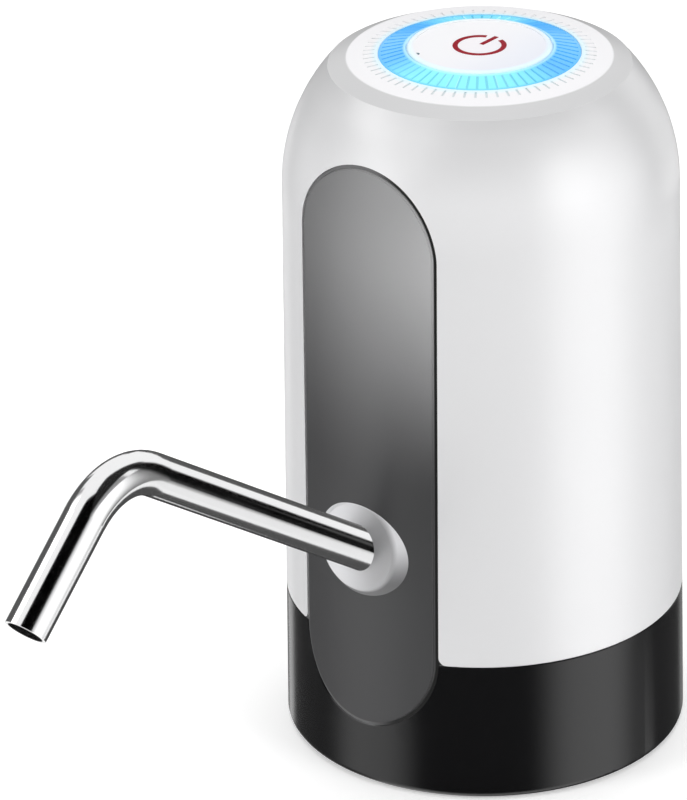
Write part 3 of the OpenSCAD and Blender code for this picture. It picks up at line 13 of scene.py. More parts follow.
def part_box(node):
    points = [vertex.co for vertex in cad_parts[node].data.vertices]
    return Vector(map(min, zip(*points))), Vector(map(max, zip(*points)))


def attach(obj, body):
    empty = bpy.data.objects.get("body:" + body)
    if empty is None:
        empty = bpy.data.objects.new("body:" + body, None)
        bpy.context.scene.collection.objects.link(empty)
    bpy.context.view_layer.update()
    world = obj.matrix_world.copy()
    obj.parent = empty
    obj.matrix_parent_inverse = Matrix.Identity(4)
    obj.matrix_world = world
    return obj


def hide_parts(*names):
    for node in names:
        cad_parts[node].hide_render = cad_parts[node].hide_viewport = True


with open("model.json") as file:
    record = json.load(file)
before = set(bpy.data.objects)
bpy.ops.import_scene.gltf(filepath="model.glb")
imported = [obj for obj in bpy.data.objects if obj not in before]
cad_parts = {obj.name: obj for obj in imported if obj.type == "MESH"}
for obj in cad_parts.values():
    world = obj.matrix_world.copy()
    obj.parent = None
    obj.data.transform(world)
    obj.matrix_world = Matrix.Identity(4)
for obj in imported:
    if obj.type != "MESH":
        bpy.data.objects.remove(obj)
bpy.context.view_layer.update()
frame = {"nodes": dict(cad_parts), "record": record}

bl_info = {
    "name": "Water Jug Pump",
    "version": (1, 0, 0),
    "blender": (4, 5, 0),
    "location": "View3D > Sidebar > Jug Pump",
    "description": "Finishes, small pieces and a studio stage for an electric water jug pump",
    "category": "Object",
}

SLOT_OF = {part["node"]: part["material_slot"] for part in frame["record"]["subparts"]}
FINISH_OF = {entry["slot"]: entry for entry in frame["record"]["materials"]}

# Nodes with a finish of their own; the others take theirs from the record
DRESSED = ("upper_shell", "top_bezel", "base_shell", "front_panel", "panel_carrier", "light_ring",
           "ring_leds", "power_button", "spout_tube", "spout_collar")

# Places on the solids that the finishes and the small pieces follow, in metres
BUTTON_R = 0.0126
BUTTON_DISH = 0.00012
BUTTON_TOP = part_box("power_button")[1].z - BUTTON_DISH
RING_IN_R = 0.01285
RING_OUT_R = 0.0176
RING_RISE = 0.0011
RING_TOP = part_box("light_ring")[1].z
MARKS_R = 0.0206
BEZEL_EDGE_R = 0.0231
BEZEL_FALL = 0.0006
BEZEL_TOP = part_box("top_bezel")[1].z
COLLAR_Z = 0.0466
COLLAR_FACE_R = 0.0079
SPIGOT_R = 0.004

# Heights between which painted shade or painted light comes in, in metres
SHELL_SLOPE_SHADE_Z = (0.098, 0.114)
SHELL_CROWN_SHADE_Z = (0.112, 0.124)
SHELL_CREST_SHADE_Z = (0.1225, 0.1262)
PANEL_REFLECTION_RISE_Z = (0.058, 0.108)
PANEL_REFLECTION_TOP_Z = (0.098, 0.122)
COLLAR_TOP_LIGHT_Z = (COLLAR_Z - 0.006, COLLAR_Z + 0.004)

# Directions round the body's axis, from +X towards +Y
# The shell's painted shade on the slope is strongest on the side facing this way
SHADE_TURN = math.radians(38)
# The fine grooves' painted shade and glow show most facing this way
GROOVE_SHADE_TURN = math.radians(-52)
GLOW_FRONT_TURN = math.radians(-62)
GLOW_BACK_TURN = math.radians(128)

# Patterns: features per metre, the relief of a polished mould, and where noise values lie
FLOW = 28.0
CLOUD = 60.0
FINE_SKIN = 260.0
POLISH_DEPTH = 0.000003
UPRIGHT = (1, 1, 0.6)
NOISE_FALLOFF = 0.55
NOISE_WIDE = (0.2, 0.8)
NOISE_NARROW = (0.3, 0.7)

# Inputs and output of a colour Mix node
MIX_FACTOR, MIX_LOW, MIX_HIGH, MIX_RESULT = 0, 6, 7, 2

# Sizes of the small pieces, in metres
INK_SINK = 0.00008
SIGN_DASH_Y = (0.0005, 0.0049)
PIN_PLACE = (-0.0063, -0.0095, 0)
PIN_R, PIN_TOP_R, PIN_CORE_R = 0.00046, 0.00036, 0.0001
SCREW_HEAD_H, SCREW_SHANK_R, CROSS_DEPTH = 0.0014, 0.0011, 0.0007
SCREW_EDGE_H, SCREW_TIP_H = 0.0004, 0.0006
TONGUE_W, TONGUE_HALF_H = 0.0042, 0.00036
CONTACT_L, CONTACT_T, CONTACT_BACK, CONTACT_ROUND = 0.0026, 0.00006, 0.0025, 0.00001
BARB_PLACES = (0.0024, 0.0048, 0.0072)
BARB_SLOPE_H, BARB_H, BARB_SINK = 0.0011, 0.0013, 0.0001

# Stage: camera film and picture, the points aimed at, the floor
FILM_MM = 36.0
PICTURE_PX = 800.0
BODY_MIDDLE = Vector((0, 0, 0.065))
LIGHT_AIM = Vector((0, 0, 0.06))
FLOOR_HALF, FLOOR_DROP, FLOOR_GLOW = 4.0, 0.0002, 0.36

# Lamps: name, degrees from the camera's azimuth, elevation, metres away, size, watts
LAMPS = (
    ("lamp_above", 180, 76, 1.3, (1.2, 1.2), 8.0),
    ("lamp_right", 52, 14, 1.1, (0.5, 0.9), 6.2),
    ("lamp_left", -64, 18, 1.2, (0.4, 0.9), 5.2),
)

# Reflection cards: name, degrees from the camera's azimuth, width, lower and upper edge in
# degrees, metres away, strength, and the strengths of the left and right rim where it fades
CARDS = (
    ("card_high", 0, 70, 27, 74, 0.9, 0.0, None),
    ("card_over", 77.3, 100, 46, 82, 0.5, 0.02, None),
    ("card_right", 111.8, 23, -29, 52, 1.1, 0.0, None),
    ("card_low", -13, 92, -62, -13, 1.0, 0.02, None),
    ("card_left", -122, 52, -62, 30, 1.1, 0.1, None),
    ("card_back", 179.3, 36, -58, -9, 1.15, 0.05, None),
    ("card_edge", 181.3, 62, -10, 11, 1.2, 0.1, None),
    ("card_under", 148.3, 80, -80, -12, 0.25, 0.08, None),
    ("card_front", -9.7, 76, -13, 27, 1.05, 0.25, None),
    ("card_slope", 57.3, 60, 30, 46, 0.97, 0.3, None),
    ("strip_right", 62.3, 84, -40, 30, 0.95, 1.35, (0.0, 0.2)),
    ("strip_low", 62.3, 78, -62, -40, 0.95, 1.35, (0.0, 0.9)),
    ("strip_left", -67.7, 74, -62, 30, 0.95, 1.0, (0.15, 0.0)),
    ("strip_crown", -91.7, 74, 30, 46, 0.95, 2.4, (0.3, 0.0)),
    ("card_rim", 162.3, 32, -42, -14, 0.2, 0.4, None),
)


# Settings that a user would change

def colour(name, text, default):
    """A colour setting."""
    return FloatVectorProperty(name=name, description=text, subtype="COLOR", size=3,
                               min=0, max=1, default=default)


def length(name, text, default):
    """A length setting in metres."""
    return FloatProperty(name=name, description=text, subtype="DISTANCE", unit="LENGTH",
                         default=default)


def angle(name, text, degrees):
    """An angle setting, given in degrees."""
    return FloatProperty(name=name, description=text, subtype="ANGLE", unit="ROTATION",
                         default=math.radians(degrees))


def pixels(name, text, default):
    """A length in pixels of the picture."""
    return FloatProperty(name=name, description=text, subtype="PIXEL", default=default)


def level(name, text, default):
    """A strength of light, where 1 is white."""
    return FloatProperty(name=name, description=text, subtype="FACTOR", min=0, max=2,
                         default=default)


class JugCaseLook(bpy.types.PropertyGroup):
    """Finishes of the case."""
    shell: colour("Shell", "Gloss plastic of the shell", (0.84, 0.84, 0.85))
    bezel: colour("Bezel", "White plastic of the bezel", (0.93, 0.925, 0.945))
    base: colour("Base", "Black gloss plastic of the base", (0.006, 0.006, 0.0065))
    panel_low: colour("Panel, low", "Front panel at its lower end", (0.060, 0.060, 0.062))
    # Lightest colour of the panel's painted reflection
    panel_reflection: colour("Panel, high", "Front panel at its upper end", (0.47, 0.47, 0.475))
    # The frame's black is painted shadow in the gap round the panel
    carrier: colour("Carrier", "Dark frame round the front panel", (0.012, 0.012, 0.012))
    carrier_left: colour("Carrier, left", "Frame where it takes the panel's grey",
                         (0.16, 0.16, 0.163))


class JugTopLook(bpy.types.PropertyGroup):
    """Finishes and sizes of the button, its sign and the light ring."""
    button: colour("Button", "Pale plastic of the button", (0.94, 0.94, 0.965))
    sign: colour("Sign", "Ink of the power sign", (0.30, 0.006, 0.018))
    glow_near: colour("Glow, bright", "Light ring where the emitters show most", (0.30, 0.92, 1.0))
    glow_far: colour("Glow, deep", "Light ring where the glow is deepest", (0.07, 0.36, 0.93))
    glow_level: level("Glow", "Strength of the light ring", 0.8)
    sign_d: length("Sign width", "Outside diameter of the power sign", 0.0094)
    sign_stroke: length("Sign stroke", "Width of the sign's line", 0.00092)
    sign_gap: angle("Sign gap", "Opening of the sign's ring", 42)
    sign_rise: length("Sign rise", "Height of the ink above the button", 0.00005)


class JugSpoutLook(bpy.types.PropertyGroup):
    """Finishes of the spout and its collar."""
    steel: colour("Steel", "Polished steel of the spout", (0.88, 0.88, 0.885))
    collar: colour("Collar", "Satin silver of the collar", (0.68, 0.68, 0.695))


class JugSmallLook(bpy.types.PropertyGroup):
    """Sizes of the small pieces."""
    cross_w: length("Cross width", "Width of the slots in the screw heads", 0.00055)
    cross_l: length("Cross length", "Length of the slots in the screw heads", 0.0024)
    contact_count: IntProperty(name="Contacts", description="Contacts on each face of the tongue",
                               min=1, default=6)
    contact_w: length("Contact width", "Width of a contact strip", 0.0004)
    barb_rise: length("Barb rise", "Height of the grip rings on the hose spigot", 0.0003)


class JugStageLook(bpy.types.PropertyGroup):
    """Camera and light."""
    azimuth: angle("Azimuth", "Camera angle from the front towards the right", 37.7)
    elevation: angle("Elevation", "Camera angle above the floor", 25.203)
    roll: angle("Roll", "Lean of the camera", 0.53)
    distance: length("Distance", "Camera distance from the middle of the body", 1.029)
    focal_px: pixels("Focal length", "Focal length of the camera", 5787.0)
    right_px: pixels("Right", "Way from the picture's middle to the body's middle, right", 139.15)
    up_px: pixels("Up", "Way from the picture's middle to the body's middle, up", 19.636)
    ambient: level("Ambient", "World light on the object", 0.40)
    floor: colour("Floor", "Pale floor", (0.93, 0.93, 0.93))


SETTINGS = {"jug_case": JugCaseLook, "jug_top": JugTopLook, "jug_spout": JugSpoutLook,
            "jug_small": JugSmallLook, "jug_stage": JugStageLook}


# Material building

def shade(base, factor):
    """A lighter or darker form of a colour."""
    return tuple(min(1.0, channel * factor) for channel in base)


class Finish:
    """A Principled material whose patterns read Object coordinates."""

    def __init__(self, name, base, roughness, metallic=0.0, ior=1.5):
        self.material = bpy.data.materials.new(name)
        self.material.use_nodes = True
        self.material.diffuse_color = (*base, 1)
        self.tree = self.material.node_tree
        self.shader = self.tree.nodes["Principled BSDF"]
        self.set("Base Color", (*base, 1))
        self.set("Roughness", roughness)
        self.set("Metallic", metallic)
        self.set("IOR", ior)
        self.place = self.node("ShaderNodeTexCoord").outputs["Object"]

    def node(self, kind, **fields):
        """Adds a node with some of its fields set."""
        made = self.tree.nodes.new(kind)
        for key, value in fields.items():
            setattr(made, key, value)
        return made

    def feed(self, value, target):
        """Gives an input a number, a colour or another node's output."""
        if isinstance(value, (int, float)):
            target.default_value = value
        elif hasattr(value, "__len__"):
            target.default_value = (*value[:3], 1)
        else:
            self.tree.links.new(value, target)

    def fill(self, node, values):
        """Gives several inputs of a node their values."""
        for key, value in values.items():
            self.feed(value, node.inputs[key])

    def set(self, socket, value):
        """Sets a value on the shader that is the same all over."""
        self.shader.inputs[socket].default_value = value

    def drive(self, socket, source):
        """Links a pattern to the shader."""
        self.tree.links.new(source, self.shader.inputs[socket])

    def axis(self, letter, source=None):
        """One coordinate of the part in metres, or of another vector."""
        split = self.node("ShaderNodeSeparateXYZ")
        self.feed(source or self.place, split.inputs["Vector"])
        return split.outputs[letter]

    def math(self, operation, *values):
        """A Math node on numbers and outputs."""
        made = self.node("ShaderNodeMath", operation=operation)
        for value, target in zip(values, made.inputs):
            self.feed(value, target)
        return made.outputs["Value"]

    def span(self, source, low, high, to_low=0.0, to_high=1.0, smooth=False):
        """Maps a range of values to another, straight or eased."""
        easing = "SMOOTHSTEP" if smooth else "LINEAR"
        made = self.node("ShaderNodeMapRange", interpolation_type=easing)
        self.fill(made, {"Value": source, "From Min": low, "From Max": high,
                         "To Min": to_low, "To Max": to_high})
        return made.outputs["Result"]

    def blend(self, factor, low, high, mode="MIX"):
        """Mixes two colours; each is a colour or an output."""
        made = self.node("ShaderNodeMix", data_type="RGBA", blend_type=mode)
        self.fill(made, {MIX_FACTOR: factor, MIX_LOW: low, MIX_HIGH: high})
        return made.outputs[MIX_RESULT]

    def noise(self, scale, detail=2.0, stretch=(1, 1, 1)):
        """Noise of so many features per metre; a stretch under 1 lengthens them on that axis."""
        place = self.node("ShaderNodeMapping")
        place.inputs["Scale"].default_value = stretch
        self.feed(self.place, place.inputs["Vector"])
        made = self.node("ShaderNodeTexNoise")
        self.fill(made, {"Vector": place.outputs["Vector"], "Scale": scale, "Detail": detail,
                         "Roughness": NOISE_FALLOFF})
        return made.outputs["Fac"]

    def mottle(self, base, vary, scale=FLOW, detail=2.0, stretch=(1, 1, 1)):
        """A colour that drifts a little lighter and darker."""
        drift = self.noise(scale, detail, stretch)
        return self.blend(drift, shade(base, 1 - vary), shade(base, 1 + vary))

    def gloss(self, low, high, scale=CLOUD):
        """Lets the roughness drift between two values."""
        self.drive("Roughness", self.span(self.noise(scale), *NOISE_WIDE, low, high))

    def relief(self, source, strength, depth):
        """Surface relief of a depth in metres."""
        made = self.node("ShaderNodeBump")
        self.fill(made, {"Height": source, "Strength": strength, "Distance": depth})
        self.drive("Normal", made.outputs["Normal"])

    def skin(self, scale, strength, depth, detail=2.0):
        """Relief of fine noise."""
        self.relief(self.noise(scale, detail), strength, depth)

    def radius(self, first="X", second="Y", middle=(0.0, 0.0)):
        """Distance from a straight axis, by default the body's upright one, in metres."""
        flat = self.node("ShaderNodeCombineXYZ")
        for letter, centre, target in ((first, middle[0], "X"), (second, middle[1], "Y")):
            self.feed(self.math("SUBTRACT", self.axis(letter), centre), flat.inputs[target])
        made = self.node("ShaderNodeVectorMath", operation="LENGTH")
        self.feed(flat.outputs["Vector"], made.inputs[0])
        return made.outputs["Value"]

    def facing(self, turn):
        """Cosine of the angle round the body's axis between a place and a direction."""
        around = self.math("ARCTAN2", self.axis("Y"), self.axis("X"))
        return self.math("COSINE", self.math("SUBTRACT", around, turn))


def moulded(name, base, roughness, ior=1.5, vary=0.04, grain=900.0, depth=0.00001, uneven=0.15):
    """Moulded plastic: faint flow shading, uneven gloss and a fine skin."""
    made = Finish(name, base, roughness, ior=ior)
    made.drive("Base Color", made.mottle(base, vary, stretch=UPRIGHT))
    made.gloss(roughness * (1 - uneven), roughness * (1 + uneven))
    made.skin(grain, 0.15, depth)
    return made


def metal(name, base, roughness, lines=(1, 1, 30), scale=60.0, vary=0.06, depth=0.000006):
    """Metal with fine drawn lines, longer along an axis with a larger number."""
    made = Finish(name, base, roughness, metallic=1.0)
    drawn = made.noise(scale, 5.0, tuple(1 / times for times in lines))
    made.drive("Base Color", made.blend(drawn, shade(base, 1 - vary), shade(base, 1 + vary)))
    made.drive("Roughness", made.span(drawn, *NOISE_NARROW, roughness * 0.8, roughness * 1.2))
    made.relief(drawn, 0.2, depth)
    return made


def rubber(name, base, roughness):
    """Rubber: dull skin with a dusty bloom."""
    made = Finish(name, base, roughness)
    bloom = made.span(made.noise(220.0, 5.0), 0.45, 0.75)
    made.drive("Base Color", made.blend(bloom, shade(base, 0.9), shade(base, 1.18)))
    made.drive("Roughness", made.span(bloom, 0, 1, roughness, min(1.0, roughness + 0.12)))
    made.skin(1400.0, 0.25, 0.00002, detail=3.0)
    return made


def board(name, base):
    """Circuit board: lacquer over fine copper lines."""
    made = Finish(name, base, 0.35)
    cells = made.node("ShaderNodeTexBrick", offset=0.37, squash=1.6)
    made.fill(cells, {"Vector": made.place, "Scale": 260.0, "Mortar Size": 0.03, "Color1": base,
                      "Color2": shade(base, 0.82), "Mortar": shade(base, 1.7)})
    made.drive("Base Color", cells.outputs["Color"])
    made.relief(cells.outputs["Fac"], 0.2, 0.00003)
    return made


def give(node, made):
    """Puts a finish on a CAD node."""
    data = frame["nodes"][node].data
    data.materials.clear()
    data.materials.append(made.material)


# Mesh building and directions

def new_object(name, shape, made):
    """Turns a bmesh into an object with a finish."""
    data = bpy.data.meshes.new(name)
    shape.to_mesh(data)
    shape.free()
    data.materials.append(made.material)
    thing = bpy.data.objects.new(name, data)
    bpy.context.scene.collection.objects.link(thing)
    return thing


def new_piece(name, shape, body, made, sharp=35.0):
    """Turns a bmesh into a piece that rides on a body; the spout doesn't mirror it."""
    bmesh.ops.remove_doubles(shape, verts=shape.verts, dist=1e-7)
    bmesh.ops.recalc_face_normals(shape, faces=shape.faces)
    made_piece = new_object(name, shape, made)
    made_piece.data.shade_smooth()
    made_piece.data.set_sharp_from_angle(angle=math.radians(sharp))
    made_piece.visible_glossy = False
    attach(made_piece, body)
    return made_piece


def add_block(shape, size, matrix, round_r):
    """A box with rounded edges."""
    corners = bmesh.ops.create_cube(shape, size=1.0)["verts"]
    bmesh.ops.scale(shape, vec=size, verts=corners)
    edges = list(dict.fromkeys(edge for corner in corners for edge in corner.link_edges))
    made = bmesh.ops.bevel(shape, geom=edges, offset=round_r, offset_type="OFFSET",
                           affect="EDGES", segments=2, profile=0.5, material=-1)
    rounded = dict.fromkeys(corner for face in made["faces"] for corner in face.verts)
    rounded.update(dict.fromkeys(corner for corner in corners if corner.is_valid))
    bmesh.ops.transform(shape, matrix=matrix, verts=list(rounded))


def add_turned(shape, section, steps, centre=(0, 0, 0), sweep=math.tau, start=0.0):
    """Turns a closed section of (radius, height) points about an upright axis."""
    turn = Matrix.Rotation(start, 4, "Z")
    corners = [shape.verts.new(turn @ Vector((r, 0, z)) + Vector(centre)) for r, z in section]
    face = shape.faces.new(corners)
    full = sweep >= math.tau - 1e-6
    geometry = list(face.edges) + corners + ([] if full else [face])
    if full:
        shape.faces.remove(face)
    bmesh.ops.spin(shape, geom=geometry, cent=centre, axis=(0, 0, 1), angle=sweep, steps=steps,
                   use_merge=full)


def lumps(node):
    """Box corners of each separate solid of a CAD node, from a merged copy of its mesh."""
    shape = bmesh.new()
    shape.from_mesh(frame["nodes"][node].data)
    bmesh.ops.remove_doubles(shape, verts=shape.verts, dist=1e-6)
    left = set(shape.verts)
    found = []
    while left:
        seed = left.pop()
        group, open_ends = [seed], [seed]
        while open_ends:
            for edge in open_ends.pop().link_edges:
                for corner in edge.verts:
                    if corner in left:
                        left.remove(corner)
                        group.append(corner)
                        open_ends.append(corner)
        low = Vector([min(corner.co[i] for corner in group) for i in range(3)])
        high = Vector([max(corner.co[i] for corner in group) for i in range(3)])
        found.append((low, high))
    shape.free()
    return sorted(found, key=lambda ends: tuple(round(value, 5) for value in ends[0]))


def outward(azimuth, elevation):
    """Direction from the body, by the angles from its front and above the floor."""
    return Vector((math.sin(azimuth) * math.cos(elevation),
                   -math.cos(azimuth) * math.cos(elevation), math.sin(elevation)))


# Operators, one for each piece or group of like pieces

class JUGPUMP_OT_case(bpy.types.Operator):
    """Finish the shell, bezel, base, front panel and its carrier"""
    bl_idname = "jugpump.case"
    bl_label = "Case"

    def execute(self, context):
        look = context.scene.jug_case
        give("upper_shell", self.shell(look))
        give("top_bezel", self.bezel(look))
        base = moulded("base_gloss", look.base, 0.2, ior=1.55, vary=0.2, grain=FINE_SKIN,
                       depth=POLISH_DEPTH, uneven=0.06)
        give("base_shell", base)
        give("panel_carrier", self.carrier(look))
        give("front_panel", self.panel(look))
        return {"FINISHED"}

    def shell(self, look):
        """White gloss with painted shade: darker towards the top, darker still just below the
        bezel, and on the sides of the slope.
        """
        made = Finish("shell_gloss", look.shell, 0.32, ior=2.2)
        height = made.axis("Z")
        tint = made.mottle(look.shell, 0.006, stretch=UPRIGHT)
        # Painted shade towards the top of the shell
        crown_shade = made.span(height, *SHELL_CROWN_SHADE_Z, smooth=True)
        tint = made.blend(crown_shade, tint, shade(look.shell, 0.85))
        # Painted shade just below the bezel
        crest_shade = made.span(height, *SHELL_CREST_SHADE_Z, smooth=True)
        tint = made.blend(crest_shade, tint, shade(look.shell, 0.78))
        # Painted shade on the slope's sides, strongest facing SHADE_TURN, weaker on the opposite
        # side
        side = made.facing(SHADE_TURN)
        near = made.span(side, 0.74, 0.99, smooth=True)
        far = made.span(side, -0.9, -1.0, 0, 0.4, smooth=True)
        slope = made.span(height, *SHELL_SLOPE_SHADE_Z, smooth=True)
        side_shade = made.math("MULTIPLY", slope, made.math("ADD", near, far))
        made.drive("Base Color", made.blend(side_shade, tint, shade(look.shell, 0.74)))
        made.gloss(0.305, 0.335)
        made.skin(FINE_SKIN, 0.15, POLISH_DEPTH)
        return made

    def bezel(self, look):
        """White gloss, grey on its outer slope as painted shade, painted glow of the ring light on
        its inner edge, and painted shade with a cyan glow in its fine grooves towards the front.
        """
        made = Finish("bezel_gloss", look.bezel, 0.33)
        reach = made.radius()
        tint = made.mottle(look.bezel, 0.006)
        # Painted shade: the slope outside the flat is greyed like the shaded shell
        band_shade = made.span(reach, BEZEL_EDGE_R - 0.0001, BEZEL_EDGE_R + 0.0003, smooth=True)
        tint = made.blend(band_shade, tint, shade(look.shell, 0.72))
        # Painted glow of the ring light on the bezel's inner edge
        painted_glow = made.span(reach, RING_OUT_R + 0.0018, RING_OUT_R, 0, 0.55, smooth=True)
        tint = made.blend(painted_glow, tint, (0.60, 0.90, 0.98))
        # Real fine grooves, coloured with painted shade and ring glow that fade away from the front
        flat = made.span(reach, RING_OUT_R, BEZEL_EDGE_R, BEZEL_TOP, BEZEL_TOP - BEZEL_FALL)
        sunk = made.span(made.math("SUBTRACT", flat, made.axis("Z")), 0.00003, 0.00008, 0, 0.6)
        inside = made.span(reach, MARKS_R, MARKS_R + 0.0002, 1, 0)
        clear = made.span(made.facing(GROOVE_SHADE_TURN), -0.2, 0.8, 0.3, 0.8, smooth=True)
        groove_shade = made.math("MULTIPLY", sunk, made.math("MULTIPLY", inside, clear))
        made.drive("Base Color", made.blend(groove_shade, tint, (0.42, 0.54, 0.56)))
        # The same painted glow, given off as emission
        made.drive("Emission Color", made.blend(painted_glow, (0, 0, 0), (0.2, 0.8, 1.0)))
        made.set("Emission Strength", 0.12)
        made.gloss(0.315, 0.345)
        made.skin(FINE_SKIN, 0.15, POLISH_DEPTH)
        return made

    def carrier(self, look):
        """Dull black on the right as painted shadow in the gap round the panel, greyer on the left
        like the panel.
        """
        made = Finish("carrier_dull", look.carrier, 0.55)
        # Painted shadow: black where the gap shows on the right, the panel's grey on the left
        side = made.span(made.axis("X"), 0.001, 0.007, smooth=True)
        left_grey = made.mottle(look.carrier_left, 0.1, 300.0, 3.0)
        made.drive("Base Color", made.blend(side, left_grey, look.carrier))
        made.gloss(0.5, 0.62, 200.0)
        made.skin(900.0, 0.15, 0.00001)
        return made

    def panel(self, look):
        """Satin grey with a painted reflection that lightens it upwards and to the right, and
        painted shade on the lower bevel.
        """
        made = Finish("panel_satin", look.panel_low, 0.42)
        low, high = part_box("front_panel")
        height = made.axis("Z")
        # Painted reflection: lighter upwards and to the right, a little less at the very top
        across = made.math("POWER", made.span(made.axis("X"), low.x, high.x), 1.4)
        across = made.math("MULTIPLY_ADD", across, 0.71, 0.34)
        rise = made.math("MULTIPLY", made.span(height, *PANEL_REFLECTION_RISE_Z, smooth=True), across)
        reflection_fall = made.span(height, *PANEL_REFLECTION_TOP_Z, 1, 0.76, smooth=True)
        tint = made.blend(made.math("MULTIPLY", rise, reflection_fall), look.panel_low, look.panel_reflection)
        # Painted shade on the faces that look down, the lower bevel
        upward = made.axis("Z", made.node("ShaderNodeNewGeometry").outputs["Normal"])
        tint = made.blend(made.span(upward, -0.1, -0.5), tint, shade(look.panel_low, 0.3))
        flow = made.blend(made.noise(34.0), (0.96, 0.96, 0.96), (1, 1, 1))
        made.drive("Base Color", made.blend(1.0, tint, flow, mode="MULTIPLY"))
        made.gloss(0.39, 0.45, 80.0)
        made.skin(500.0, 0.12, 0.000004)
        return made


class JUGPUMP_OT_light_ring(bpy.types.Operator):
    """Finish the ribbed light ring and the emitters under it"""
    bl_idname = "jugpump.light_ring"
    bl_label = "Light Ring"

    def execute(self, context):
        give("light_ring", self.ring(context.scene.jug_top))
        emitter = Finish("emitter_clear", (0.75, 0.9, 1.0), 0.15)
        spark = emitter.blend(emitter.noise(900.0, 3.0), (0.25, 0.7, 1.0), (0.5, 0.9, 1.0))
        emitter.drive("Emission Color", spark)
        emitter.set("Emission Strength", 1.0)
        give("ring_leds", emitter)
        return {"FINISHED"}

    def ring(self, look):
        """Blue glow: brighter in front and behind, pale inside, deep at the rim and grooves."""
        made = Finish("ring_glow", look.glow_far, 0.18)
        front = made.span(made.facing(GLOW_FRONT_TURN), 0.35, 0.95, smooth=True)
        back = made.span(made.facing(GLOW_BACK_TURN), 0.72, 0.98, 0, 0.8, smooth=True)
        lit = made.math("MAXIMUM", front, back)
        uneven = made.span(made.noise(150.0, 3.0), *NOISE_NARROW, 0.85, 1.1)
        tint = made.blend(made.math("MULTIPLY", lit, uneven), look.glow_far, look.glow_near)
        reach = made.radius()
        rim = made.span(reach, RING_OUT_R - 0.0009, RING_OUT_R - 0.0001, 0, 0.55, smooth=True)
        tint = made.blend(rim, tint, (0.03, 0.30, 0.75))
        edge = made.span(reach, RING_IN_R + 0.0007, RING_IN_R + 0.0001, 0, 0.5, smooth=True)
        tint = made.blend(edge, tint, (0.75, 1.0, 1.0))
        slope = made.span(reach, RING_IN_R, RING_OUT_R, RING_TOP, RING_TOP - RING_RISE)
        depth = made.math("SUBTRACT", slope, made.axis("Z"))
        groove = made.span(depth, 0.00008, 0.0003, 0, 0.32, smooth=True)
        made.drive("Base Color", made.blend(groove, (0.03, 0.22, 0.30), (0.0, 0.05, 0.08)))
        made.drive("Emission Color", made.blend(groove, tint, (0.0, 0.20, 0.36)))
        made.set("Emission Strength", look.glow_level)
        made.skin(700.0, 0.2, 0.00002)
        return made


class JUGPUMP_OT_button(bpy.types.Operator):
    """Finish the button, and print the power sign and the pin mark on it"""
    bl_idname = "jugpump.button"
    bl_label = "Power Button"

    def execute(self, context):
        look = context.scene.jug_top
        give("power_button", self.cap(look))
        low, high = BUTTON_TOP - INK_SINK, BUTTON_TOP + look.sign_rise
        soft = look.sign_rise * 0.6
        self.sign(look, low, high, soft)
        self.pin(low, high, soft)
        return {"FINISHED"}

    def cap(self, look):
        """Pale satin, cooler on the right, warm round the sign, and blue at the edge as painted
        glow of the ring light.
        """
        made = Finish("button_satin", look.button, 0.34)
        reach = made.radius()
        cool = made.span(made.axis("X"), -0.004, 0.012, 0, 0.6, smooth=True)
        tint = made.blend(cool, look.button, (0.80, 0.84, 0.95))
        halo = made.span(reach, 0.0072, 0.0030, 0, 0.35, smooth=True)
        tint = made.blend(halo, tint, (0.94, 0.87, 0.90))
        # Painted glow of the ring light on the button's edge, in its colour and as emission
        edge = made.span(reach, BUTTON_R - 0.0014, BUTTON_R - 0.0002, 0, 0.55, smooth=True)
        made.drive("Base Color", made.blend(edge, tint, (0.74, 0.95, 1.0)))
        made.drive("Emission Color", made.blend(edge, (0.0, 0.0, 0.0), (0.25, 0.8, 1.0)))
        made.set("Emission Strength", 0.14)
        made.gloss(0.31, 0.37, 90.0)
        made.skin(400.0, 0.1, 0.000002)
        return made

    def sign(self, look, low, high, soft):
        """A ring with a gap at the back and a dash in it."""
        ink = moulded("sign_ink", look.sign, 0.6, vary=0.12, grain=2600.0)
        ink.set("Specular IOR Level", 0.12)
        shape = bmesh.new()
        outer, inner = look.sign_d / 2, look.sign_d / 2 - look.sign_stroke
        section = [(inner, low), (outer, low), (outer, high - soft), (outer - soft, high),
                   (inner + soft, high), (inner, high - soft)]
        add_turned(shape, section, 72, sweep=math.tau - look.sign_gap,
                   start=math.pi / 2 + look.sign_gap / 2)
        near, far = SIGN_DASH_Y
        place = Matrix.Translation((0, (near + far) / 2, (low + high) / 2))
        add_block(shape, (look.sign_stroke * 0.95, far - near, high - low), place, soft)
        new_piece("power_sign", shape, "button", ink)

    def pin(self, low, high, soft):
        """A small dark dot at the button's left edge."""
        dark = moulded("pin_mark", (0.05, 0.13, 0.17), 0.5, vary=0.2)
        shape = bmesh.new()
        section = [(PIN_CORE_R, low), (PIN_R, low), (PIN_R, high - soft), (PIN_TOP_R, high),
                   (PIN_CORE_R, high)]
        add_turned(shape, section, 20, centre=PIN_PLACE)
        bmesh.ops.holes_fill(shape, edges=[edge for edge in shape.edges if edge.is_boundary])
        new_piece("button_pin", shape, "button", dark)


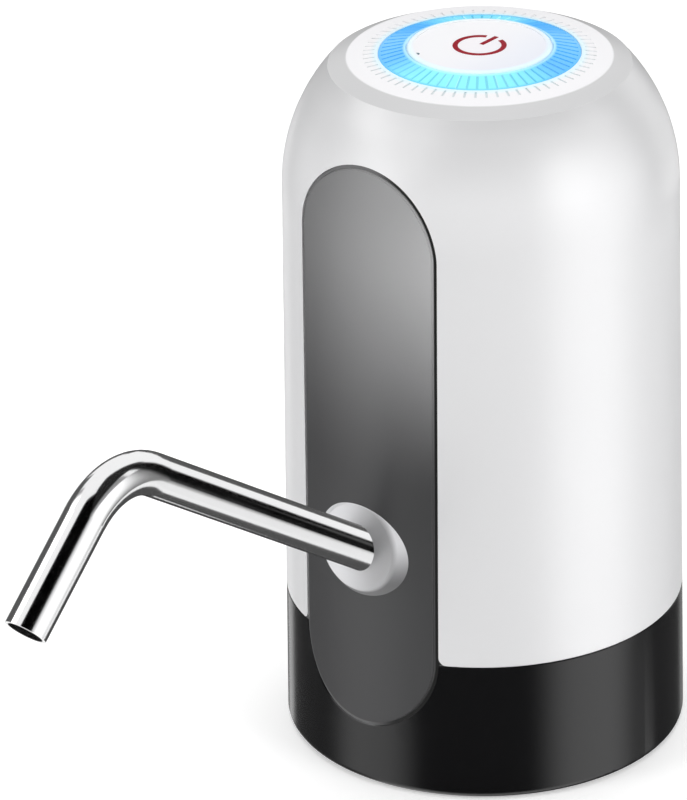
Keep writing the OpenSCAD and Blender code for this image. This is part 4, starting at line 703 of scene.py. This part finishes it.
class JUGPUMP_OT_spout(bpy.types.Operator):
    """Finish the polished spout and its satin collar"""
    bl_idname = "jugpump.spout"
    bl_label = "Spout"

    def execute(self, context):
        look = context.scene.jug_spout
        give("spout_tube", self.tube(look))
        give("spout_collar", self.collar(look))
        for name, node in frame["nodes"].items():
            node.visible_glossy = name == "spout_tube"
        return {"FINISHED"}

    def tube(self, look):
        """Polished steel with a faint haze."""
        made = Finish("spout_polish", look.steel, 0.125, metallic=1.0)
        haze = made.noise(120.0, 3.0)
        made.drive("Base Color", made.blend(haze, shade(look.steel, 0.96), shade(look.steel, 1.02)))
        made.drive("Roughness", made.span(haze, *NOISE_WIDE, 0.11, 0.14))
        made.skin(60.0, 0.05, 0.000006)
        return made

    def collar(self, look):
        """Satin silver with painted light and shade: the face darkens to the right, the cone round
        it is lit at the top and darkens downwards.
        """
        made = Finish("collar_satin", look.collar, 0.42, metallic=0.25)
        fine = made.noise(420.0, 5.0)
        reach = made.radius("X", "Z", (0, COLLAR_Z))
        face = made.span(reach, COLLAR_FACE_R, COLLAR_FACE_R + 0.0006, 1, 0)
        # Painted light and shade: the face lighter on its left, the cone lit at its top
        side = made.span(made.axis("X"), -0.005, 0.006, 0.9, 0.42, smooth=True)
        top_light = made.span(made.axis("Z"), *COLLAR_TOP_LIGHT_Z, smooth=True)
        cone = made.math("SUBTRACT", 1.0, face)
        light = made.math("ADD", made.math("MULTIPLY", face, side),
                          made.math("MULTIPLY", cone, top_light))
        light = made.math("MULTIPLY_ADD", fine, 0.06, light)
        # Lit and shaded copies of the silver, as painted light and shade
        made.drive("Base Color", made.blend(light, shade(look.collar, 0.22),
                                            shade(look.collar, 1.3)))
        made.drive("Roughness", made.span(fine, *NOISE_NARROW, 0.38, 0.46))
        made.skin(900.0, 0.12, 0.000004)
        return made


class JUGPUMP_OT_inner(bpy.types.Operator):
    """Finish every part inside and underneath"""
    bl_idname = "jugpump.inner"
    bl_label = "Inner Parts"

    def execute(self, context):
        made = {}
        for node in frame["nodes"]:
            if node in DRESSED:
                continue
            slot = SLOT_OF[node]
            if slot not in made:
                made[slot] = self.finish(slot)
            give(node, made[slot])
        return {"FINISHED"}

    def finish(self, slot):
        """The finish of a slot of the record."""
        entry = FINISH_OF[slot]
        base = tuple(entry["base_color"])
        roughness = {"gloss": 0.2, "satin": 0.4, "matte": 0.65, "polished": 0.1}[entry["finish"]]
        kind = entry["class"]
        if slot == "circuit_green":
            return board(slot, base)
        if slot == "winding_copper":
            return metal(slot, base, 0.35, lines=(1, 1, 12), scale=900.0, vary=0.25, depth=0.00008)
        if slot == "cell_blue":
            return moulded(slot, base, 0.25, vary=0.08, grain=400.0, depth=0.00002)
        if kind == "rubber":
            return rubber(slot, base, roughness)
        if kind in ("brushed_steel", "brass", "cast_iron"):
            return metal(slot, base, roughness)
        return moulded(slot, base, roughness, vary=0.05)


class JUGPUMP_OT_case_screws(bpy.types.Operator):
    """Replace the plain case screws by ones with a cross recess"""
    bl_idname = "jugpump.case_screws"
    bl_label = "Case Screws"

    def execute(self, context):
        look = context.scene.jug_small
        made = metal("screw_zinc", (0.55, 0.55, 0.57), 0.32, lines=(1, 1, 1), scale=700.0)
        shape = bmesh.new()
        for low, high in lumps("case_screws"):
            self.screw(shape, low, high, look)
        screws = new_piece("cross_screws", shape, "body", made)
        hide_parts("case_screws")
        return {"FINISHED"}

    def screw(self, shape, low, high, look):
        """A screw with its head down: a round face with a sunk cross, then the sides and shank."""
        centre = Vector(((low.x + high.x) / 2, (low.y + high.y) / 2, 0))
        head_r = (high.x - low.x) / 2
        half, reach = look.cross_w / 2, look.cross_l / 2
        lines = (-head_r * 0.8, -reach, -half, half, reach, head_r * 0.8)
        steps = len(lines) - 1
        corners = bmesh.ops.create_grid(shape, x_segments=steps, y_segments=steps,
                                        size=steps / 2)["verts"]
        cross = []
        for face in dict.fromkeys(face for corner in corners for face in corner.link_faces):
            near, far = sorted(abs(value) for value in face.calc_center_median().xy)
            if near < 0.5 and far < 1.5:
                cross.append(face)
        for corner in corners:
            x, y = (lines[round(value + steps / 2)] for value in corner.co.xy)
            flat = Vector((x, y, 0))
            if max(abs(x), abs(y)) > reach:
                flat = flat.normalized() * head_r * 0.86
            corner.co = centre + flat + Vector((0, 0, low.z))
        sunk = bmesh.ops.extrude_face_region(shape, geom=cross)["geom"]
        deep = [part for part in sunk if isinstance(part, bmesh.types.BMVert)]
        bmesh.ops.translate(shape, vec=(0, 0, CROSS_DEPTH), verts=deep)
        bmesh.ops.delete(shape, geom=cross, context="FACES_ONLY")
        rim = [edge for edge in shape.edges if edge.is_boundary
               and all(reach * 1.05 < (corner.co - centre).xy.length < head_r * 1.01
                       for corner in edge.verts)]
        for ring_r, height in ((head_r, low.z + SCREW_EDGE_H), (head_r, low.z + SCREW_HEAD_H),
                               (SCREW_SHANK_R, low.z + SCREW_HEAD_H),
                               (SCREW_SHANK_R, high.z - SCREW_TIP_H),
                               (SCREW_SHANK_R * 0.4, high.z)):
            made = bmesh.ops.extrude_edge_only(shape, edges=rim)["geom"]
            rim = [part for part in made if isinstance(part, bmesh.types.BMEdge)]
            for corner in (part for part in made if isinstance(part, bmesh.types.BMVert)):
                flat = (corner.co - centre).xy.normalized() * ring_r
                corner.co = centre + Vector((flat.x, flat.y, height))
        bmesh.ops.holes_fill(shape, edges=rim)


class JUGPUMP_OT_port_contacts(bpy.types.Operator):
    """Add the contact strips on the charging socket's tongue"""
    bl_idname = "jugpump.port_contacts"
    bl_label = "Charging Contacts"

    def execute(self, context):
        look = context.scene.jug_small
        low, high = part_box("usb_socket")
        middle = (low.z + high.z) / 2
        gold = metal("contact_gold", (0.78, 0.56, 0.22), 0.25, lines=(1, 12, 1), scale=500.0)
        shape = bmesh.new()
        pitch = TONGUE_W / look.contact_count
        size = (look.contact_w, CONTACT_L, CONTACT_T)
        for side in (-1, 1):
            for index in range(look.contact_count):
                across = (index - (look.contact_count - 1) / 2) * pitch
                place = Matrix.Translation((across, high.y - CONTACT_BACK,
                                            middle + side * TONGUE_HALF_H))
                add_block(shape, size, place, CONTACT_ROUND)
        new_piece("port_contacts", shape, "body", gold)
        return {"FINISHED"}


class JUGPUMP_OT_spigot_rings(bpy.types.Operator):
    """Add the grip rings on the hose spigot under the base"""
    bl_idname = "jugpump.spigot_rings"
    bl_label = "Spigot Rings"

    def execute(self, context):
        barb = context.scene.jug_small.barb_rise
        low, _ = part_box("intake_stem")
        white = tuple(FINISH_OF["stem_white"]["base_color"])
        made = moulded("spigot_plastic", white, 0.4)
        shape = bmesh.new()
        inner = SPIGOT_R - BARB_SINK
        for rise in BARB_PLACES:
            z = low.z + rise
            section = [(inner, z), (SPIGOT_R + barb * 0.15, z),
                       (SPIGOT_R + barb, z + BARB_SLOPE_H), (SPIGOT_R + barb * 0.8, z + BARB_H),
                       (inner, z + BARB_H)]
            add_turned(shape, section, 48)
        new_piece("spigot_rings", shape, "body", made, sharp=50.0)
        return {"FINISHED"}


class JUGPUMP_OT_stage(bpy.types.Operator):
    """Set the floor, light, reflection cards and camera"""
    bl_idname = "jugpump.stage"
    bl_label = "Stage"

    def execute(self, context):
        look = context.scene.jug_stage
        self.world(context.scene, look)
        self.floor(look)
        for name, turn, *rest in LAMPS:
            self.lamp(name, look.azimuth + math.radians(turn), *rest)
        for name, turn, *rest in CARDS:
            self.card(name, look.azimuth + math.radians(turn), *rest)
        self.camera(context.scene, look)
        context.scene.view_settings.view_transform = "Standard"
        return {"FINISHED"}

    def world(self, scene, look):
        """White to the eye and in reflections, dimmer as light on the object."""
        world = bpy.data.worlds.new("studio")
        world.use_nodes = True
        scene.world = world
        tree = world.node_tree
        paths = tree.nodes.new("ShaderNodeLightPath")
        seen = paths.outputs["Is Camera Ray"]
        for kind in ("Is Glossy Ray", "Is Transmission Ray"):
            either = tree.nodes.new("ShaderNodeMath")
            either.operation = "MAXIMUM"
            tree.links.new(seen, either.inputs[0])
            tree.links.new(paths.outputs[kind], either.inputs[1])
            seen = either.outputs["Value"]
        strength = tree.nodes.new("ShaderNodeMapRange")
        strength.inputs["To Min"].default_value = look.ambient
        strength.inputs["To Max"].default_value = 1.0
        tree.links.new(seen, strength.inputs["Value"])
        back = tree.nodes["Background"]
        back.inputs["Color"].default_value = (1, 1, 1, 1)
        tree.links.new(strength.outputs["Result"], back.inputs["Strength"])

    def floor(self, look):
        """Pale paper that carries the shadow; reflections don't see it."""
        shape = bmesh.new()
        bmesh.ops.create_grid(shape, x_segments=8, y_segments=8, size=FLOOR_HALF)
        bmesh.ops.translate(shape, vec=(0, 0, -FLOOR_DROP), verts=shape.verts)
        made = Finish("floor_paper", look.floor, 0.9)
        made.set("Specular IOR Level", 0.0)
        made.drive("Base Color", made.mottle(look.floor, 0.005, 9.0, 3.0))
        paths = made.node("ShaderNodeLightPath")
        glow = made.math("MULTIPLY", paths.outputs["Is Camera Ray"], FLOOR_GLOW)
        made.set("Emission Color", (1, 1, 1, 1))
        made.drive("Emission Strength", glow)
        thing = new_object("floor", shape, made)
        thing.visible_glossy = False

    def card(self, name, azimuth, width, low, high, distance, strength, rims):
        """An upright card that only reflections see, given by the angles that it covers."""
        half = math.radians(width / 2)
        z_low, z_high = (distance * math.tan(math.radians(edge)) + LIGHT_AIM.z
                         for edge in (low, high))
        shape = bmesh.new()
        bmesh.ops.create_grid(shape, x_segments=1, y_segments=1, size=0.5)
        bmesh.ops.scale(shape, vec=(2 * distance * math.tan(half), z_high - z_low, 1),
                        verts=shape.verts)
        place = (Matrix.Rotation(azimuth, 4, "Z")
                 @ Matrix.Translation((0, -distance, (z_low + z_high) / 2))
                 @ Matrix.Rotation(math.pi / 2, 4, "X"))
        bmesh.ops.transform(shape, matrix=place, verts=shape.verts)
        made = Finish(name, (0, 0, 0), 1.0)
        made.set("Specular IOR Level", 0.0)
        made.set("Emission Color", (1, 1, 1, 1))
        made.set("Emission Strength", strength)
        if rims:
            near = made.facing(azimuth - math.pi / 2)
            near = made.span(near, math.cos(half), 1.0, smooth=True)
            near = made.math("MULTIPLY", near, near)
            rim = made.span(made.facing(azimuth), -0.1, 0.1, *rims)
            gain = made.math("SUBTRACT", strength, rim)
            made.drive("Emission Strength", made.math("MULTIPLY_ADD", near, gain, rim))
        thing = new_object(name, shape, made)
        thing.visible_camera = False
        thing.visible_diffuse = False
        thing.visible_shadow = False

    def lamp(self, name, azimuth, elevation, distance, size, power):
        """A soft rectangular lamp that reflections don't see."""
        data = bpy.data.lights.new(name, "AREA")
        data.shape = "RECTANGLE"
        data.size, data.size_y = size
        data.energy = power
        thing = bpy.data.objects.new(name, data)
        bpy.context.scene.collection.objects.link(thing)
        out = outward(azimuth, math.radians(elevation))
        thing.location = LIGHT_AIM + out * distance
        thing.rotation_euler = (-out).to_track_quat("-Z", "Y").to_euler()
        thing.visible_glossy = False

    def camera(self, scene, look):
        """A camera at the photograph's angle, aimed so that the body sits where it does there."""
        out = outward(look.azimuth, look.elevation)
        place = BODY_MIDDLE + out * look.distance
        level_right = Vector((math.cos(look.azimuth), math.sin(look.azimuth), 0))
        level_up = level_right.cross(-out)
        right = level_right * math.cos(look.roll) - level_up * math.sin(look.roll)
        up = level_up * math.cos(look.roll) + level_right * math.sin(look.roll)
        per_px = look.distance / look.focal_px
        aim = BODY_MIDDLE - right * look.right_px * per_px - up * look.up_px * per_px
        ahead = (aim - place).normalized()
        side = ahead.cross(up).normalized()
        top = side.cross(ahead)
        data = bpy.data.cameras.new("camera")
        data.sensor_width = FILM_MM
        data.lens = FILM_MM * look.focal_px / PICTURE_PX
        data.clip_start, data.clip_end = 0.05, 20.0
        thing = bpy.data.objects.new("camera", data)
        scene.collection.objects.link(thing)
        turn = Matrix((side, top, -ahead)).transposed().to_4x4()
        thing.matrix_world = Matrix.Translation(place) @ turn
        scene.camera = thing


OPERATORS = (JUGPUMP_OT_case, JUGPUMP_OT_light_ring, JUGPUMP_OT_button, JUGPUMP_OT_spout,
             JUGPUMP_OT_inner, JUGPUMP_OT_case_screws, JUGPUMP_OT_port_contacts,
             JUGPUMP_OT_spigot_rings, JUGPUMP_OT_stage)


class JUGPUMP_PT_pieces(bpy.types.Panel):
    """Lists the pieces and the stage in the sidebar"""
    bl_idname = "JUGPUMP_PT_pieces"
    bl_label = "Water Jug Pump"
    bl_space_type = "VIEW_3D"
    bl_region_type = "UI"
    bl_category = "Jug Pump"

    def draw(self, context):
        for operator in OPERATORS:
            self.layout.operator(operator.bl_idname)
        for name, group in SETTINGS.items():
            box = self.layout.box()
            for field in group.__annotations__:
                box.prop(getattr(context.scene, name), field)


def register():
    for group in SETTINGS.values():
        bpy.utils.register_class(group)
    for operator in OPERATORS:
        bpy.utils.register_class(operator)
    bpy.utils.register_class(JUGPUMP_PT_pieces)
    for name, group in SETTINGS.items():
        setattr(bpy.types.Scene, name, PointerProperty(type=group))


def unregister():
    for name in SETTINGS:
        delattr(bpy.types.Scene, name)
    bpy.utils.unregister_class(JUGPUMP_PT_pieces)
    for operator in reversed(OPERATORS):
        bpy.utils.unregister_class(operator)
    for group in SETTINGS.values():
        bpy.utils.unregister_class(group)


def main():
    register()
    bpy.ops.jugpump.case()
    bpy.ops.jugpump.light_ring()
    bpy.ops.jugpump.button()
    bpy.ops.jugpump.spout()
    bpy.ops.jugpump.inner()
    bpy.ops.jugpump.case_screws()
    bpy.ops.jugpump.port_contacts()
    bpy.ops.jugpump.spigot_rings()
    bpy.ops.jugpump.stage()


if __name__ == "__main__":
    main()
